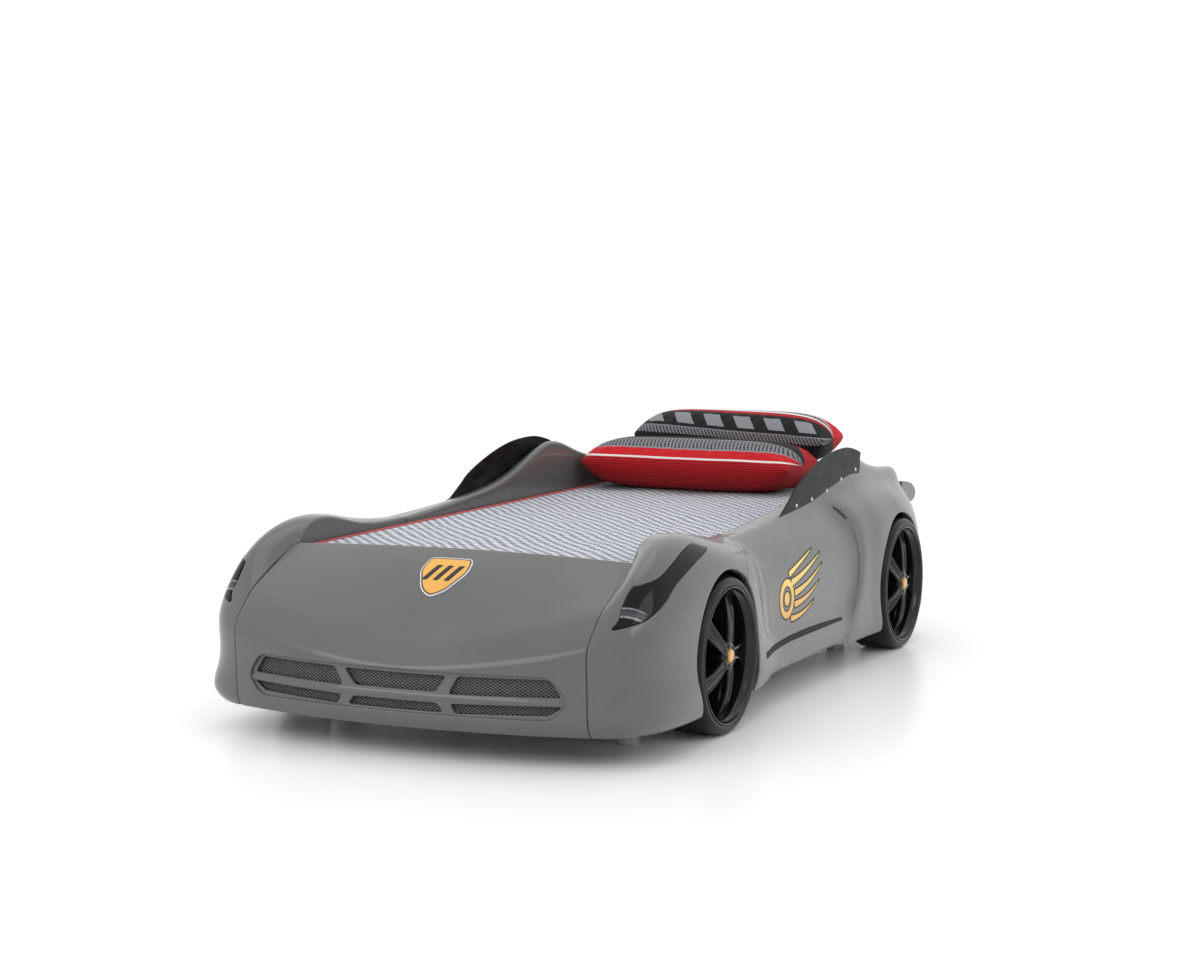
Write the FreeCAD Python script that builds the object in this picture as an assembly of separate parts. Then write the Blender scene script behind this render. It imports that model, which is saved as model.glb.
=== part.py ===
import FreeCAD, Part
import os
from math import cos, pi, radians, sin

V = FreeCAD.Vector

# A child's bed in the shape of a sports car, for a 90 x 190 cm mattress.
# Frame: X to the car's left, -Y to the bumper, +Z up, origin on the floor under the middle of the bed.
# Moulded shells hang on a timber bed base that stands on eight feet; four dummy wheels are bolted on.

# ---------------------------------------------------------------- driving sizes, millimetres
FRONT_AXLE_Y = -632
REAR_AXLE_Y = 760
AXLE_Z = 195
TYRE_R = 195
TYRE_OUT_X = 613
TYRE_IN_X = 486
RIM_R = 171
ARCH_R = 212
SKIN = 4
MATTRESS_W, MATTRESS_L, MATTRESS_H = 900, 1900, 172
INNER_X = 460
FOOT_WALL_Y = -887
HEAD_WALL_Y = 1024
SEAM_X = 473
REAR_SEAM_X = 440
WALL_FOOT_Z = 105
CORNER_Y = -836

RAIL_T = 22
RAIL_Z0, RAIL_Z1 = 100, 250
SLAT_W, SLAT_T, SLAT_COUNT = 80, 18, 11
SLAT_BEVEL = 4
FOOT_R = 28
BED_Z = RAIL_Z1 + SLAT_T

FRONT_BOW = 65
GRILLE_BOW_Y = -1223
GRILLE_HALF = 430
GRILLE_BOW = 52

# ---------------------------------------------------------------- the shared lines of the body
# Rails run along the car, from the bottom edge (0) over the top (10) and down the inner wall (13).
# The front seam profile: (y, z) of each rail where the bumper moulding meets the wing.
FRONT_SEAM = [(-1139, 72), (-1160, 98), (-1157, 165), (-1163, 240), (-1164, 284), (-1122, 322),
              (-1090, 353), (-1051, 372), (-966, 412), (-898, 444), (-887, 449), (-887, 436),
              (-887, 300), (-887, WALL_FOOT_Z)]

# The rear seam profile, where the side moulding meets the tail.
REAR_SEAM = [(1084, 85), (1104, 100), (1109, 170), (1109, 240), (1109, 310), (1109, 370),
             (1109, 420), (1101, 452), (1068, 474), (1062, 508), (1026, 512), (1024, 499),
             (1024, 300), (1024, WALL_FOOT_Z)]

# Upper rails of the wing, round the front corner and back along the wheel.
WING_SHOULDER = [(530, -1114, 335), (572, -1056, 352), (594, -956, 378), (605, -856, 398),
                 (609, -736, 413), (610, -636, 418), (608, -536, 408), (604, -416, 388), (600, -296, 370)]
WING_RIDGE = [(532, -1076, 384), (562, -1011, 412), (575, -921, 437), (583, -831, 455),
              (586, -736, 463), (585, -636, 458), (581, -536, 443), (574, -416, 425), (567, -296, 413)]
WING_CREST = [(520, -1026, 430), (534, -961, 469), (537, -891, 492), (536, -816, 504),
              (533, -736, 505), (528, -636, 490), (522, -536, 472), (517, -416, 459), (513, -296, 454)]
WING_SLOPE = [(492, -951, 452), (494, -894, 481), (494, -848, 498), (493, -798, 506),
              (491, -726, 505), (489, -636, 489), (487, -536, 468), (484, -416, 458), (483, -296, 458)]
WING_EDGE = [(463, -871, 473), (461, -838, 491), (461, -804, 499), (461, -768, 502),
             (461, -711, 496), (461, -626, 475), (461, -536, 458), (461, -416, 455), (461, -296, 458)]

# Lower rails of the wing: corner ellipse exponent, side offset from the seam, height at seam and side.
WING_LOW = [(2.3, 136, 72, 72), (3.4, 160, 98, 98), (2.3, 140, 165, 170), (2.4, 140, 240, 240),
            (2.5, 139, 284, 310)]
WING_SIDE_X = [(608, 607, 606, 605, 603), (623, 621, 618, 614, 612), (614, 615, 614, 612, 608),
               (614, 615, 614, 612, 608), (614, 615, 614, 612, 607)]
WING_ANGLES = [22, 45, 66, 88]
WING_SIDE_Y = [-736, -636, -536, -416, -296]

# Side sections: (x, z) of rails 0 to 8.
FLARE = [(605, 72), (618, 99), (611, 170), (609, 240), (609, 310), (606, 385), (578, 430), (520, 462), (487, 462)]
LEAD = [(597, 74), (611, 99), (601, 170), (594, 240), (593, 310), (590, 385), (570, 430), (520, 462), (487, 462)]
DOOR = [(572, 83), (592, 97), (591, 150), (578, 180), (579, 270), (576, 345), (566, 400), (541, 437), (514, 464)]
HAUNCH = [(584, 72), (602, 88), (602, 160), (600, 220), (600, 290), (597, 360), (585, 425), (554, 468), (510, 487)]
TAIL = [(600, 75), (614, 95), (611, 160), (610, 220), (610, 290), (608, 370), (596, 425), (562, 465), (510, 487)]
DOOR_LEAD = [-296, -296, -311, -321, -336, -361, -391, -411, -416]
DOOR_STEP = [294, 304, 339, 379, 409, 409, 379, 334, 304]
TAIL_CORNER_Y = [904, 904, 904, 894, 864, 824, 774, 764, 994, 994, 994, 994, 994, 994]
TAIL_POWER = [2.3, 2.4, 2.3, 2.3, 2.2, 2.1, 2.0, 2.0, 2.4, 2.4, 3, 3, 3, 3]
# Top line of the side wall: (y, z), with the hump that carries the side window.
TOP_LINE = [(-636, 478), (-556, 459), (-466, 454), (-366, 455), (-286, 458), (-186, 464), (-86, 471),
            (64, 482), (164, 491), (239, 503), (330, 528), (424, 562), (494, 588), (564, 603),
            (624, 597), (689, 577), (764, 549), (824, 536), (914, 526), (1014, 515), (1064, 512)]

# Where the wing ends and the door moulding starts, a diagonal cut in plan.
SPLIT_A = (455, -335)
SPLIT_B = (640, -540)


# ---------------------------------------------------------------- surface tools
def clamped(count):
    """Knots and multiplicities of a clamped uniform cubic."""
    spans = count - 3
    return [i / spans for i in range(spans + 1)], [4] + [1] * (spans - 1) + [4]


def sampled(net, stations, rails):
    """Points of the cubic surface that a net of poles controls, on an even grid."""
    u_knots, u_mults = clamped(len(net))
    v_knots, v_mults = clamped(len(net[0]))
    surface = Part.BSplineSurface()
    surface.buildFromPolesMultsKnots(net, u_mults, v_mults, u_knots, v_knots, False, False, 3, 3)
    return [[surface.value(i / (stations - 1), j / (rails - 1)) for j in range(rails)] for i in range(stations)]


def offset_grid(grid, distance):
    """The grid moved along its own outward normals."""
    last_u, last_v = len(grid) - 1, len(grid[0]) - 1
    moved = []
    for i, row in enumerate(grid):
        new_row = []
        for j, point in enumerate(row):
            along = grid[min(i + 1, last_u)][j] - grid[max(i - 1, 0)][j]
            across = row[min(j + 1, last_v)] - row[max(j - 1, 0)]
            new_row.append(point + along.cross(across).normalize() * distance)
        moved.append(new_row)
    return moved


def flat_pair(a, b, c, d):
    """Two flat triangles across the cell a, b, c, d."""
    corners = [(a, b, c), (a, c, d)]
    return [Part.Face(Part.makePolygon([p, q, r, p])) for p, q, r in corners
            if (q - p).cross(r - p).Length > 1e-6]


def skin_solid(grid, thickness=SKIN, proud=0):
    """Moulded skin under a grid, flat between its points so that the model stays light."""
    outer = offset_grid(grid, proud) if proud else grid
    inner = offset_grid(grid, proud - thickness)
    faces = []
    for i in range(len(grid) - 1):
        for j in range(len(grid[0]) - 1):
            faces += flat_pair(outer[i][j], outer[i + 1][j], outer[i + 1][j + 1], outer[i][j + 1])
            faces += flat_pair(inner[i][j], inner[i][j + 1], inner[i + 1][j + 1], inner[i + 1][j])
        for j in (0, -1):
            faces += flat_pair(outer[i][j], inner[i][j], inner[i + 1][j], outer[i + 1][j])
    for j in range(len(grid[0]) - 1):
        for i in (0, -1):
            faces += flat_pair(outer[i][j], outer[i][j + 1], inner[i][j + 1], inner[i][j])
    shell = Part.makeShell(faces)
    shell.sewShape()
    solid = Part.Solid(Part.Shell(shell.Faces))
    if solid.Volume < 0:
        solid.reverse()
    return solid


def faceted(sections, closed=False):
    """Solid through equal rings of points, closed on itself or with a flat cap at each end."""
    faces = []
    count = len(sections[0])
    last = len(sections) if closed else len(sections) - 1
    for i in range(last):
        ring, after = sections[i], sections[(i + 1) % len(sections)]
        for j in range(count):
            k = (j + 1) % count
            faces += flat_pair(ring[j], after[j], after[k], ring[k])
    if not closed:
        for ring in (sections[0], sections[-1]):
            faces.append(Part.Face(Part.makePolygon(ring + [ring[0]])))
    shell = Part.makeShell(faces)
    shell.sewShape()
    solid = Part.Solid(Part.Shell(shell.Faces))
    if solid.Volume < 0:
        solid.reverse()
    return solid


def stud(start, direction, profile, sides=6):
    """Round pin or foot with flats, from (distance, radius) pairs along a direction."""
    axis = FreeCAD.Rotation(V(0, 0, 1), direction)
    rings = []
    for distance, radius in profile:
        turns = [2 * pi * k / sides for k in range(sides)]
        rings.append([start + axis.multVec(V(radius * cos(a), radius * sin(a), distance)) for a in turns])
    return faceted(rings)


def prism(points, direction):
    """Closed polygon carried along a direction."""
    return Part.Face(Part.makePolygon(points + [points[0]])).extrude(direction)


def box(x0, x1, y0, y1, z0, z1):
    return Part.makeBox(x1 - x0, y1 - y0, z1 - z0, V(x0, y0, z0))


def is_along(edge, axis):
    span = edge.Vertexes[-1].Point - edge.Vertexes[0].Point
    return span.Length > 1 and abs(span.normalize().dot(axis)) > 0.999


def mirrored(solid):
    return solid.mirror(V(0, 0, 0), V(1, 0, 0))


def lerp(a, b, t):
    return a + (b - a) * t


def along_line(line, y):
    """Height of a (y, z) line at y."""
    if y <= line[0][0]:
        return line[0][1]
    for (y0, z0), (y1, z1) in zip(line, line[1:]):
        if y <= y1:
            return lerp(z0, z1, (y - y0) / (y1 - y0))
    return line[-1][1]


# ---------------------------------------------------------------- the nets of the body mouldings
def front_net():
    """Bonnet and bumper in one, from seam to seam."""
    rows = []
    for x in (-473, -400, -300, -150, 0, 150, 300, 400, 473):
        t = abs(x) / SEAM_X
        bow = FRONT_BOW * (1 - t ** 2.2)
        dome = 1 - t * t
        drops = [(bow, 0), (bow, 0), (bow, 0), (bow, 35 * (1 - t ** 1.6)), (bow * 0.92, 66 * (1 - t ** 1.7)),
                 (82 * dome, 82 * (1 - t ** 1.5)), (98 * dome, 98 * (1 - t ** 1.35)),
                 (88 * dome, 75 * (1 - t ** 1.5)), (30 * dome, 5 * dome), (0, -12 * dome), (0, -12 * dome)]
        row = [V(x, y - dy, z - dz) for (y, z), (dy, dz) in zip(FRONT_SEAM, drops)]
        row += [V(x * 0.97, y, z) for y, z in FRONT_SEAM[11:]]
        rows.append(row)
    return rows


def wing_net():
    """Left wing, from the front seam round the corner to behind the wheel."""
    rails = []
    for index, (power, reach, z_seam, z_side) in enumerate(WING_LOW):
        y_seam = FRONT_SEAM[index][0]
        rail = [V(SEAM_X, y_seam, z_seam)]
        for k, angle in enumerate(WING_ANGLES, 1):
            x = SEAM_X + reach * sin(radians(angle)) ** (2 / power)
            y = CORNER_Y - (CORNER_Y - y_seam) * cos(radians(angle)) ** (2 / power)
            rail.append(V(x, y, lerp(z_seam, z_side, k / 4)))
        rail += [V(x, y, z_side) for x, y in zip(WING_SIDE_X[index], WING_SIDE_Y)]
        rails.append(rail)
    for index, line in enumerate((WING_SHOULDER, WING_RIDGE, WING_CREST, WING_SLOPE), 5):
        rails.append([V(SEAM_X, *FRONT_SEAM[index])] + [V(*p) for p in line])
    edge = [V(465, *FRONT_SEAM[10])] + [V(*p) for p in WING_EDGE]
    rails.append([V(468, *FRONT_SEAM[9])] + [p + V(10, 0, 2) for p in edge[1:]])
    rails.append(edge)
    rails.append([V(INNER_X, p.y, p.z - 13) for p in edge])
    rails.append([V(INNER_X, p.y, 300) for p in edge])
    rails.append([V(INNER_X, p.y, WALL_FOOT_Z) for p in edge])
    return [list(station) for station in zip(*rails)]


def side_station(section, y, wall_y=None, foot_z=None):
    """One station of the side net: the section outside, the top line and the inner wall."""
    row = [V(x, wall_y[i] if wall_y else y, z) for i, (x, z) in enumerate(section)]
    if foot_z:
        row[8].z = foot_z
    top = along_line(TOP_LINE, y)
    row += [V(497 if foot_z else 472, y, top - 2), V(INNER_X + 1, y, top + 2), V(INNER_X, y, top - 14)]
    return row + [V(INNER_X, y, 300), V(INNER_X, y, WALL_FOOT_Z)]


def side_net():
    """Left side: door, haunch over the rear wheel and the corner of the tail."""
    rows = [side_station(FLARE, -556),
            side_station(FLARE, -466),
            side_station(LEAD, -396, [y - 35 for y in DOOR_LEAD]),
            side_station(DOOR, -316, [y + 30 for y in DOOR_LEAD], 458),
            side_station(DOOR, -136, None, 462),
            side_station(DOOR, 24, None, 470),
            side_station(DOOR, 184, None, 478),
            side_station(DOOR, 294, [y - 25 for y in DOOR_STEP], 484),
            side_station(HAUNCH, 394, [y + 20 for y in DOOR_STEP], 490),
            side_station(HAUNCH, 484, None, 505),
            side_station(TAIL, 564, None, 510),
            side_station(TAIL, 654, None, 505),
            side_station(TAIL, 764, None, 497)]
    last = side_station(TAIL, 924, None, 487)
    start_y = [894, 894, 894, 894, 864, 824, 784, 764, 904, 904, 904, 904, 904, 904]
    rows.append([V(p.x, y, p.z) for p, y in zip(last, start_y)])
    for angle in (24, 47, 68, 90):
        row = []
        for p, (y, z), corner, power in zip(last, REAR_SEAM, TAIL_CORNER_Y, TAIL_POWER):
            x = REAR_SEAM_X + (p.x - REAR_SEAM_X) * max(cos(radians(angle)), 0) ** (2 / power)
            row.append(V(x if angle < 90 else REAR_SEAM_X,
                         corner + (y - corner) * sin(radians(angle)) ** (2 / power),
                         lerp(p.z, z, angle / 90)))
        rows.append(row)
    return rows


def tail_net():
    """Rear face with its deck and the wall behind the mattress, from seam to seam."""
    rows = []
    for x in (440, 300, 120, -120, -300, -440):
        bulge = 12 * (1 - (x / REAR_SEAM_X) ** 2)
        rows.append([V(x, y + (bulge if 1 <= i <= 4 else 0), z) for i, (y, z) in enumerate(REAR_SEAM)])
    return rows


# ---------------------------------------------------------------- body mouldings
FRONT_GRID = (12, 14)
WING_GRID = (12, 15)
SIDE_GRID = (20, 13)
TAIL_GRID = (5, 14)


FAR = 1500
JOINT_GAP = 0.6


def split_prism(side):
    """Half space ahead of (side 1) or behind (side -1) the wing's diagonal joint, half a gap clear of it."""
    a, b = V(*SPLIT_A, 0), V(*SPLIT_B, 0)
    along = (b - a).normalize()
    out = V(-along.y, along.x, 0)
    if out.y > 0:
        out = out * -1
    out = out * side
    start, end = a - along * FAR + out * JOINT_GAP, b + along * FAR + out * JOINT_GAP
    return prism([start, end, end + out * 2 * FAR, start + out * 2 * FAR], V(0, 0, FAR))


def arch_cut(y):
    """Wheel opening, through the outer skin only."""
    return stud(V(INNER_X + SKIN + 2, y, AXLE_Z), V(1, 0, 0), [(0, ARCH_R), (200, ARCH_R)], 36)


# Front grille: half widths and heights of the openings in the recessed frame.
FRAME = [(392, 214), (432, 158), (396, 112)]
UPPER_MID = [(136, 203), (108, 166)]
LOWER_MID = [(112, 138), (127, 118)]
UPPER_SIDE = [(165, 204), (385, 206), (412, 167), (142, 163)]
LOWER_SIDE = [(146, 138), (414, 144), (384, 124), (158, 117)]
FRAME_DEPTH, FRAME_THICK, FRAME_WALL = 9, 16, 5
MESH_EDGE = [(420, 210), (424, 158), (400, 114)]
MESH_T = 2


def both_sides(half):
    """Closed outline from its right half, top to bottom."""
    return half + [(-x, z) for x, z in reversed(half)]


def front_prism(outline):
    return prism([V(x, GRILLE_BOW_Y - 40, z) for x, z in outline], V(0, 140, 0))


def bow_band(depth0, depth1):
    """Upright band that follows the bumper's bow in plan, between two depths behind its face."""
    arcs = []
    for depth in (depth0, depth1):
        ends = [V(x, GRILLE_BOW_Y + GRILLE_BOW + depth, 90) for x in (-GRILLE_HALF - 10, GRILLE_HALF + 10)]
        arcs.append(Part.Arc(ends[0], V(0, GRILLE_BOW_Y + depth, 90), ends[1]).toShape())
    caps = [Part.makeLine(arcs[0].Vertexes[k].Point, arcs[1].Vertexes[k].Point) for k in (0, 1)]
    outline = Part.Wire(Part.__sortEdges__(arcs + caps))
    return Part.Face(outline).extrude(V(0, 0, 140))


def grille_openings():
    openings = [front_prism(both_sides(UPPER_MID)), front_prism(both_sides(LOWER_MID))]
    for outline in (UPPER_SIDE, LOWER_SIDE):
        openings.append(front_prism(outline))
        openings.append(front_prism([(-x, z) for x, z in outline]))
    return openings


def front_panel():
    """Bonnet and bumper with the six-hole grille frame moulded in."""
    panel = skin_solid(sampled(front_net(), *FRONT_GRID))
    frame = front_prism(both_sides(FRAME))
    inset = front_prism(both_sides([(x - FRAME_WALL, z + dz) for (x, z), dz in zip(FRAME, (-4, 0, 4))]))
    ring = bow_band(0, FRAME_DEPTH + FRAME_THICK).common(frame).cut(inset)
    plate = bow_band(FRAME_DEPTH, FRAME_DEPTH + FRAME_THICK).common(frame)
    for opening in grille_openings():
        plate = plate.cut(opening)
    return panel.cut(frame).fuse([ring, plate])


def grille_mesh():
    """Thin net behind the openings, plain here: its fine diamonds are left to the finish."""
    depth = FRAME_DEPTH + FRAME_THICK
    return bow_band(depth, depth + MESH_T).common(front_prism(both_sides(MESH_EDGE)))


# Headlight: outline in the plane square to its own direction, round the smooth ends.
LAMP_AT = V(550, -936, 430)
LAMP_DIR = V(0.5, -0.45, 0.74).normalize()
LAMP_OUTLINE = [(194, 125), (93, 24), (39, -29), (0, -74), (-40, -109), (-77, -132), (-121, -144), (-157, -142),
                (-137, -123), (-119, -89), (-87, -49), (-62, -46), (-15, -27), (20, 1), (61, 42), (108, 91),
                (145, 124), (173, 128)]
LAMP_REACH = 70
LENS_PROUD = 1


def lamp_prism():
    across = V(0, 0, 1).cross(LAMP_DIR).normalize()
    up = LAMP_DIR.cross(across)
    outline = [LAMP_AT + across * s + up * t - LAMP_DIR * LAMP_REACH for s, t in LAMP_OUTLINE]
    return prism(outline, LAMP_DIR * 2 * LAMP_REACH)


def wing():
    """Left wing moulding, with the holes for its lamp and its half of the wheel arch."""
    grid = sampled(wing_net(), *WING_GRID)
    lamp = skin_solid(grid, SKIN, LENS_PROUD).common(lamp_prism())
    shell = skin_solid(grid).cut(lamp_prism()).cut(arch_cut(FRONT_AXLE_Y)).common(split_prism(1))
    return shell, lamp


# Side window: (y, z) outline, flat against the hump of the side wall, with five screws.
WINDOW_X, WINDOW_T = 505, 4
WINDOW = [(-19, 470), (-9, 474), (55, 509), (98, 534), (173, 562), (268, 589), (353, 606), (433, 614), (526, 615),
          (590, 606), (645, 592), (643, 578), (628, 529), (521, 521), (435, 500), (308, 483), (169, 477), (67, 470)]
WINDOW_SCREWS = [(105, 487), (228, 493), (351, 505), (474, 527), (600, 545)]
WINDOW_SCREW = [(0, 2.5), (26, 2.5), (26, 6), (29, 3.5)]

# Sill strip and shoulder vent: (y, z) outlines on the side moulding.
SILL_STRIP = [(-420, 141), (-256, 149), (-16, 153), (270, 153), (264, 162), (115, 169), (-16, 171),
              (-144, 170), (-420, 162)]
VENT = [(280, 480), (314, 466), (364, 428), (350, 430), (304, 459), (284, 470)]
STRIP_PROUD = 2.5
VENT_T, VENT_PROUD = 3, 1


def stretch(grid, y0, y1):
    """The stations of a side grid that reach over a length of the car."""
    rows = [i for i, row in enumerate(grid) if y0 < row[6].y < y1]
    return grid[max(rows[0] - 1, 0):rows[-1] + 2]


def side_prism(outline, x0=500, depth=160):
    return prism([V(x0, y, z) for y, z in outline], V(depth, 0, 0))


def side_panel():
    """Left side moulding with door, haunch and tail corner, and the strip and vent set on it."""
    grid = sampled(side_net(), *SIDE_GRID)
    shell = skin_solid(grid).cut(arch_cut(FRONT_AXLE_Y)).cut(arch_cut(REAR_AXLE_Y))
    shell = shell.common(split_prism(-1))
    strip = skin_solid(stretch(grid, -600, 400), STRIP_PROUD, STRIP_PROUD).common(side_prism(SILL_STRIP, 540))
    strip = strip.common(split_prism(-1)).cut(arch_cut(FRONT_AXLE_Y))
    vent = skin_solid(stretch(grid, 60, 640), VENT_T, VENT_PROUD).common(side_prism(VENT, 520, 80))
    return shell.cut(vent), strip, vent


def window_with_screws(panel):
    """Smoked side window and its five dome-headed screws, seated in the panel."""
    pane = side_prism(WINDOW, WINDOW_X, WINDOW_T)
    shank = WINDOW_SCREW[1][0]
    screws = [stud(V(WINDOW_X + WINDOW_T - shank, y, z), V(1, 0, 0), WINDOW_SCREW) for y, z in WINDOW_SCREWS]
    for screw in screws:
        pane = pane.cut(screw)
        panel = panel.cut(screw)
    pane = max(pane.cut(panel).Solids, key=lambda solid: solid.Volume)
    return pane, panel, screws


# Tail wing: D section across the rear, (y, z), and its plan clipped to the tail's corners.
TAIL_WING_TOP = [(1060, 466), (1134, 460)]
TAIL_WING_TIP = (1219, 420)
TAIL_WING_LOW = [(1154, 396), (1060, 402)]
TAIL_WING_HALF = 500
TAIL_WING_PLAN = [(505, 1230), (505, 1075), (470, 1112), (440, 1114)]


def tail_wing(neighbours):
    """Spoiler of D section, rounded to the rear."""
    x0 = -TAIL_WING_HALF
    top = [V(x0, *p) for p in TAIL_WING_TOP]
    low = [V(x0, *p) for p in TAIL_WING_LOW]
    nose = Part.Arc(top[1], V(x0, *TAIL_WING_TIP), low[0]).toShape()
    edges = [Part.makeLine(top[0], top[1]), nose, Part.makeLine(low[0], low[1]), Part.makeLine(low[1], top[0])]
    bar = Part.Face(Part.Wire(edges)).extrude(V(2 * TAIL_WING_HALF, 0, 0))
    plan = [V(x, y, 380) for x, y in both_sides(TAIL_WING_PLAN)]
    bar = bar.common(prism(plan, V(0, 0, 120)))
    for shape in neighbours:
        bar = bar.cut(shape)
    return max(bar.Solids, key=lambda solid: solid.Volume)


# ---------------------------------------------------------------- wheels
def turned(profile, axle_y, sides=24):
    """Ring of an (x, r) profile about a wheel's axle."""
    rings = []
    for k in range(sides):
        a = 2 * pi * k / sides
        rings.append([V(x, axle_y + r * sin(a), AXLE_Z + r * cos(a)) for x, r in profile])
    return faceted(rings, closed=True)


# Sections (x, r), round from the tyre's inner bead and from the rim's inner flange.
TYRE_PROFILE = [(TYRE_IN_X, RIM_R - 11), (TYRE_IN_X, TYRE_R - 13), (TYRE_IN_X + 12, TYRE_R),
                (TYRE_OUT_X - 12, TYRE_R), (TYRE_OUT_X, TYRE_R - 11), (TYRE_OUT_X, RIM_R),
                (TYRE_OUT_X - 7, RIM_R - 5), (TYRE_IN_X + 14, RIM_R - 11)]
RIM_PROFILE = [(TYRE_IN_X + 4, RIM_R - 19), (TYRE_IN_X + 4, RIM_R - 11), (TYRE_IN_X + 14, RIM_R - 11),
               (TYRE_OUT_X - 7, RIM_R - 5), (TYRE_OUT_X, RIM_R), (TYRE_OUT_X + 1, RIM_R - 3),
               (TYRE_OUT_X - 9, RIM_R - 13), (TYRE_IN_X + 14, RIM_R - 19)]
HUB_R, HUB_FRONT_X, HUB_BACK_X = 34, 612, 530
CAP_R = 17
CAP_PROFILE = [(0, CAP_R), (3, CAP_R), (5, CAP_R - 3)]
BOLT_CIRCLE_R, BOLT_R = 25, 4.5
SPOKES = 5
WHEEL_CLOCK = 18
SPOKE_STATIONS = [(20, 13, 611, 30), (70, 11, 606, 24), (153, 19, 578, 20)]
SPOKE_SWIRL = 0.0009
SPOKE_VALLEY = 5


def spoke(axle_y, turn):
    """One twin-ridged spoke, bowed inwards from the hub to the barrel and swirled a little."""
    sections = []
    for r, half, x, depth in SPOKE_STATIONS:
        z = AXLE_Z + r
        y = axle_y + SPOKE_SWIRL * r * r
        sections.append([V(x, y - half, z), V(x - SPOKE_VALLEY, y, z), V(x, y + half, z),
                         V(x - depth, y + half + 2, z), V(x - depth, y - half - 2, z)])
    solid = faceted(sections)
    solid.rotate(V(0, axle_y, AXLE_Z), V(1, 0, 0), turn)
    return solid


def wheel(axle_y):
    """Tyre, five-spoke rim, centre cap and five bolts of a left wheel, in place."""
    tyre = turned(TYRE_PROFILE, axle_y)
    rim = turned(RIM_PROFILE, axle_y)
    hub_depth = HUB_FRONT_X - HUB_BACK_X
    hub = stud(V(HUB_BACK_X, axle_y, AXLE_Z), V(1, 0, 0), [(0, HUB_R), (hub_depth, HUB_R)], 16)
    spokes = [spoke(axle_y, WHEEL_CLOCK + 360 / SPOKES * k) for k in range(SPOKES)]
    rim = rim.fuse([hub] + spokes)
    cap = stud(V(HUB_FRONT_X, axle_y, AXLE_Z), V(1, 0, 0), CAP_PROFILE, 16)
    bolts = []
    for k in range(SPOKES):
        angle = radians(WHEEL_CLOCK + 360 / SPOKES * (k + 0.5))
        at = V(HUB_FRONT_X, axle_y + BOLT_CIRCLE_R * sin(angle), AXLE_Z + BOLT_CIRCLE_R * cos(angle))
        bolts.append(stud(at, V(1, 0, 0), [(0, BOLT_R), (4, BOLT_R)]))
    return tyre, rim, cap, bolts


def wheel_bracket(axle_y):
    """Steel stand-off from the bed rail to the back of the hub."""
    x0 = INNER_X + SKIN - 1
    flange = box(x0, x0 + 6, axle_y - 70, axle_y + 70, 115, 245)
    return flange.fuse(stud(V(x0, axle_y, AXLE_Z), V(1, 0, 0), [(0, 24), (HUB_BACK_X - x0, 24)], 12))


# ---------------------------------------------------------------- bed base
RAIL_X = INNER_X - 0.5
RAIL_Y0, RAIL_Y1 = FOOT_WALL_Y + 0.5, HEAD_WALL_Y - 0.5
BEAM_HALF, BEAM_DEPTH = 22, 70
FOOT_PLACES = [(sx * 432, y) for y in (-840, -110, 660) for sx in (-1, 1)] + [(0, -420), (0, 420)]


def side_rail():
    return box(RAIL_X - RAIL_T, RAIL_X, RAIL_Y0, RAIL_Y1, RAIL_Z0, RAIL_Z1)


def cross_board(y):
    return box(-RAIL_X + RAIL_T, RAIL_X - RAIL_T, y, y + RAIL_T, RAIL_Z0, RAIL_Z1)


def centre_beam():
    return box(-BEAM_HALF, BEAM_HALF, RAIL_Y0 + RAIL_T, RAIL_Y1 - RAIL_T, RAIL_Z1 - BEAM_DEPTH, RAIL_Z1)


def timber_space():
    """Space of the left rail and the slats on it, which the mouldings leave free."""
    return box(RAIL_X - RAIL_T - 1, RAIL_X, RAIL_Y0, RAIL_Y1 + 1, RAIL_Z0, BED_Z + 0.4)


def slat(index):
    """One bed slat across the rails, its top edges bevelled."""
    pitch = (RAIL_Y1 - RAIL_Y0 - SLAT_W) / (SLAT_COUNT - 1)
    y = RAIL_Y0 + pitch * index
    board = box(-RAIL_X, RAIL_X, y, y + SLAT_W, RAIL_Z1, BED_Z)
    top_edges = [e for e in board.Edges if is_along(e, V(1, 0, 0)) and e.CenterOfMass.z > BED_Z - 1]
    return board.makeChamfer(SLAT_BEVEL, top_edges)


def foot(x, y):
    """Grey plastic foot, waisted, under a rail or the beam."""
    top = RAIL_Z0 if x else RAIL_Z1 - BEAM_DEPTH
    profile = [(0, FOOT_R - 3), (5, FOOT_R), (top - 12, FOOT_R - 8), (top, FOOT_R - 2)]
    return stud(V(x, y, 0), V(0, 0, 1), profile, 9)


BRACKET_LEG, BRACKET_T, BRACKET_Z0, BRACKET_Z1 = 60, 3, 130, 220


def corner_brackets():
    """Four folded steel angles that tie the rails to the end boards."""
    found = []
    for sx in (-1, 1):
        for y, sy in ((RAIL_Y0 + RAIL_T, 1), (RAIL_Y1 - RAIL_T, -1)):
            x = sx * (RAIL_X - RAIL_T)
            legs = []
            for reach_x, reach_y in ((BRACKET_LEG, BRACKET_T), (BRACKET_T, BRACKET_LEG)):
                xs = sorted((x, x - sx * reach_x))
                ys = sorted((y, y + sy * reach_y))
                legs.append(box(*xs, *ys, BRACKET_Z0, BRACKET_Z1))
            found.append(legs[0].fuse(legs[1]))
    return found


PANEL_SCREW_Y = [-800, -420, -40, 340, 960]
PANEL_SCREW = [(0, 6), (3, 6), (3, 2.5), (24, 2.5)]


def panel_screws():
    """Pan-head screws that fix the inner walls of the mouldings to the rails."""
    found = []
    for sx in (-1, 1):
        for y in PANEL_SCREW_Y:
            start = V(sx * (INNER_X + SKIN + 3), y, 220)
            found.append(stud(start, V(-sx, 0, 0), PANEL_SCREW))
    return found


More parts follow.
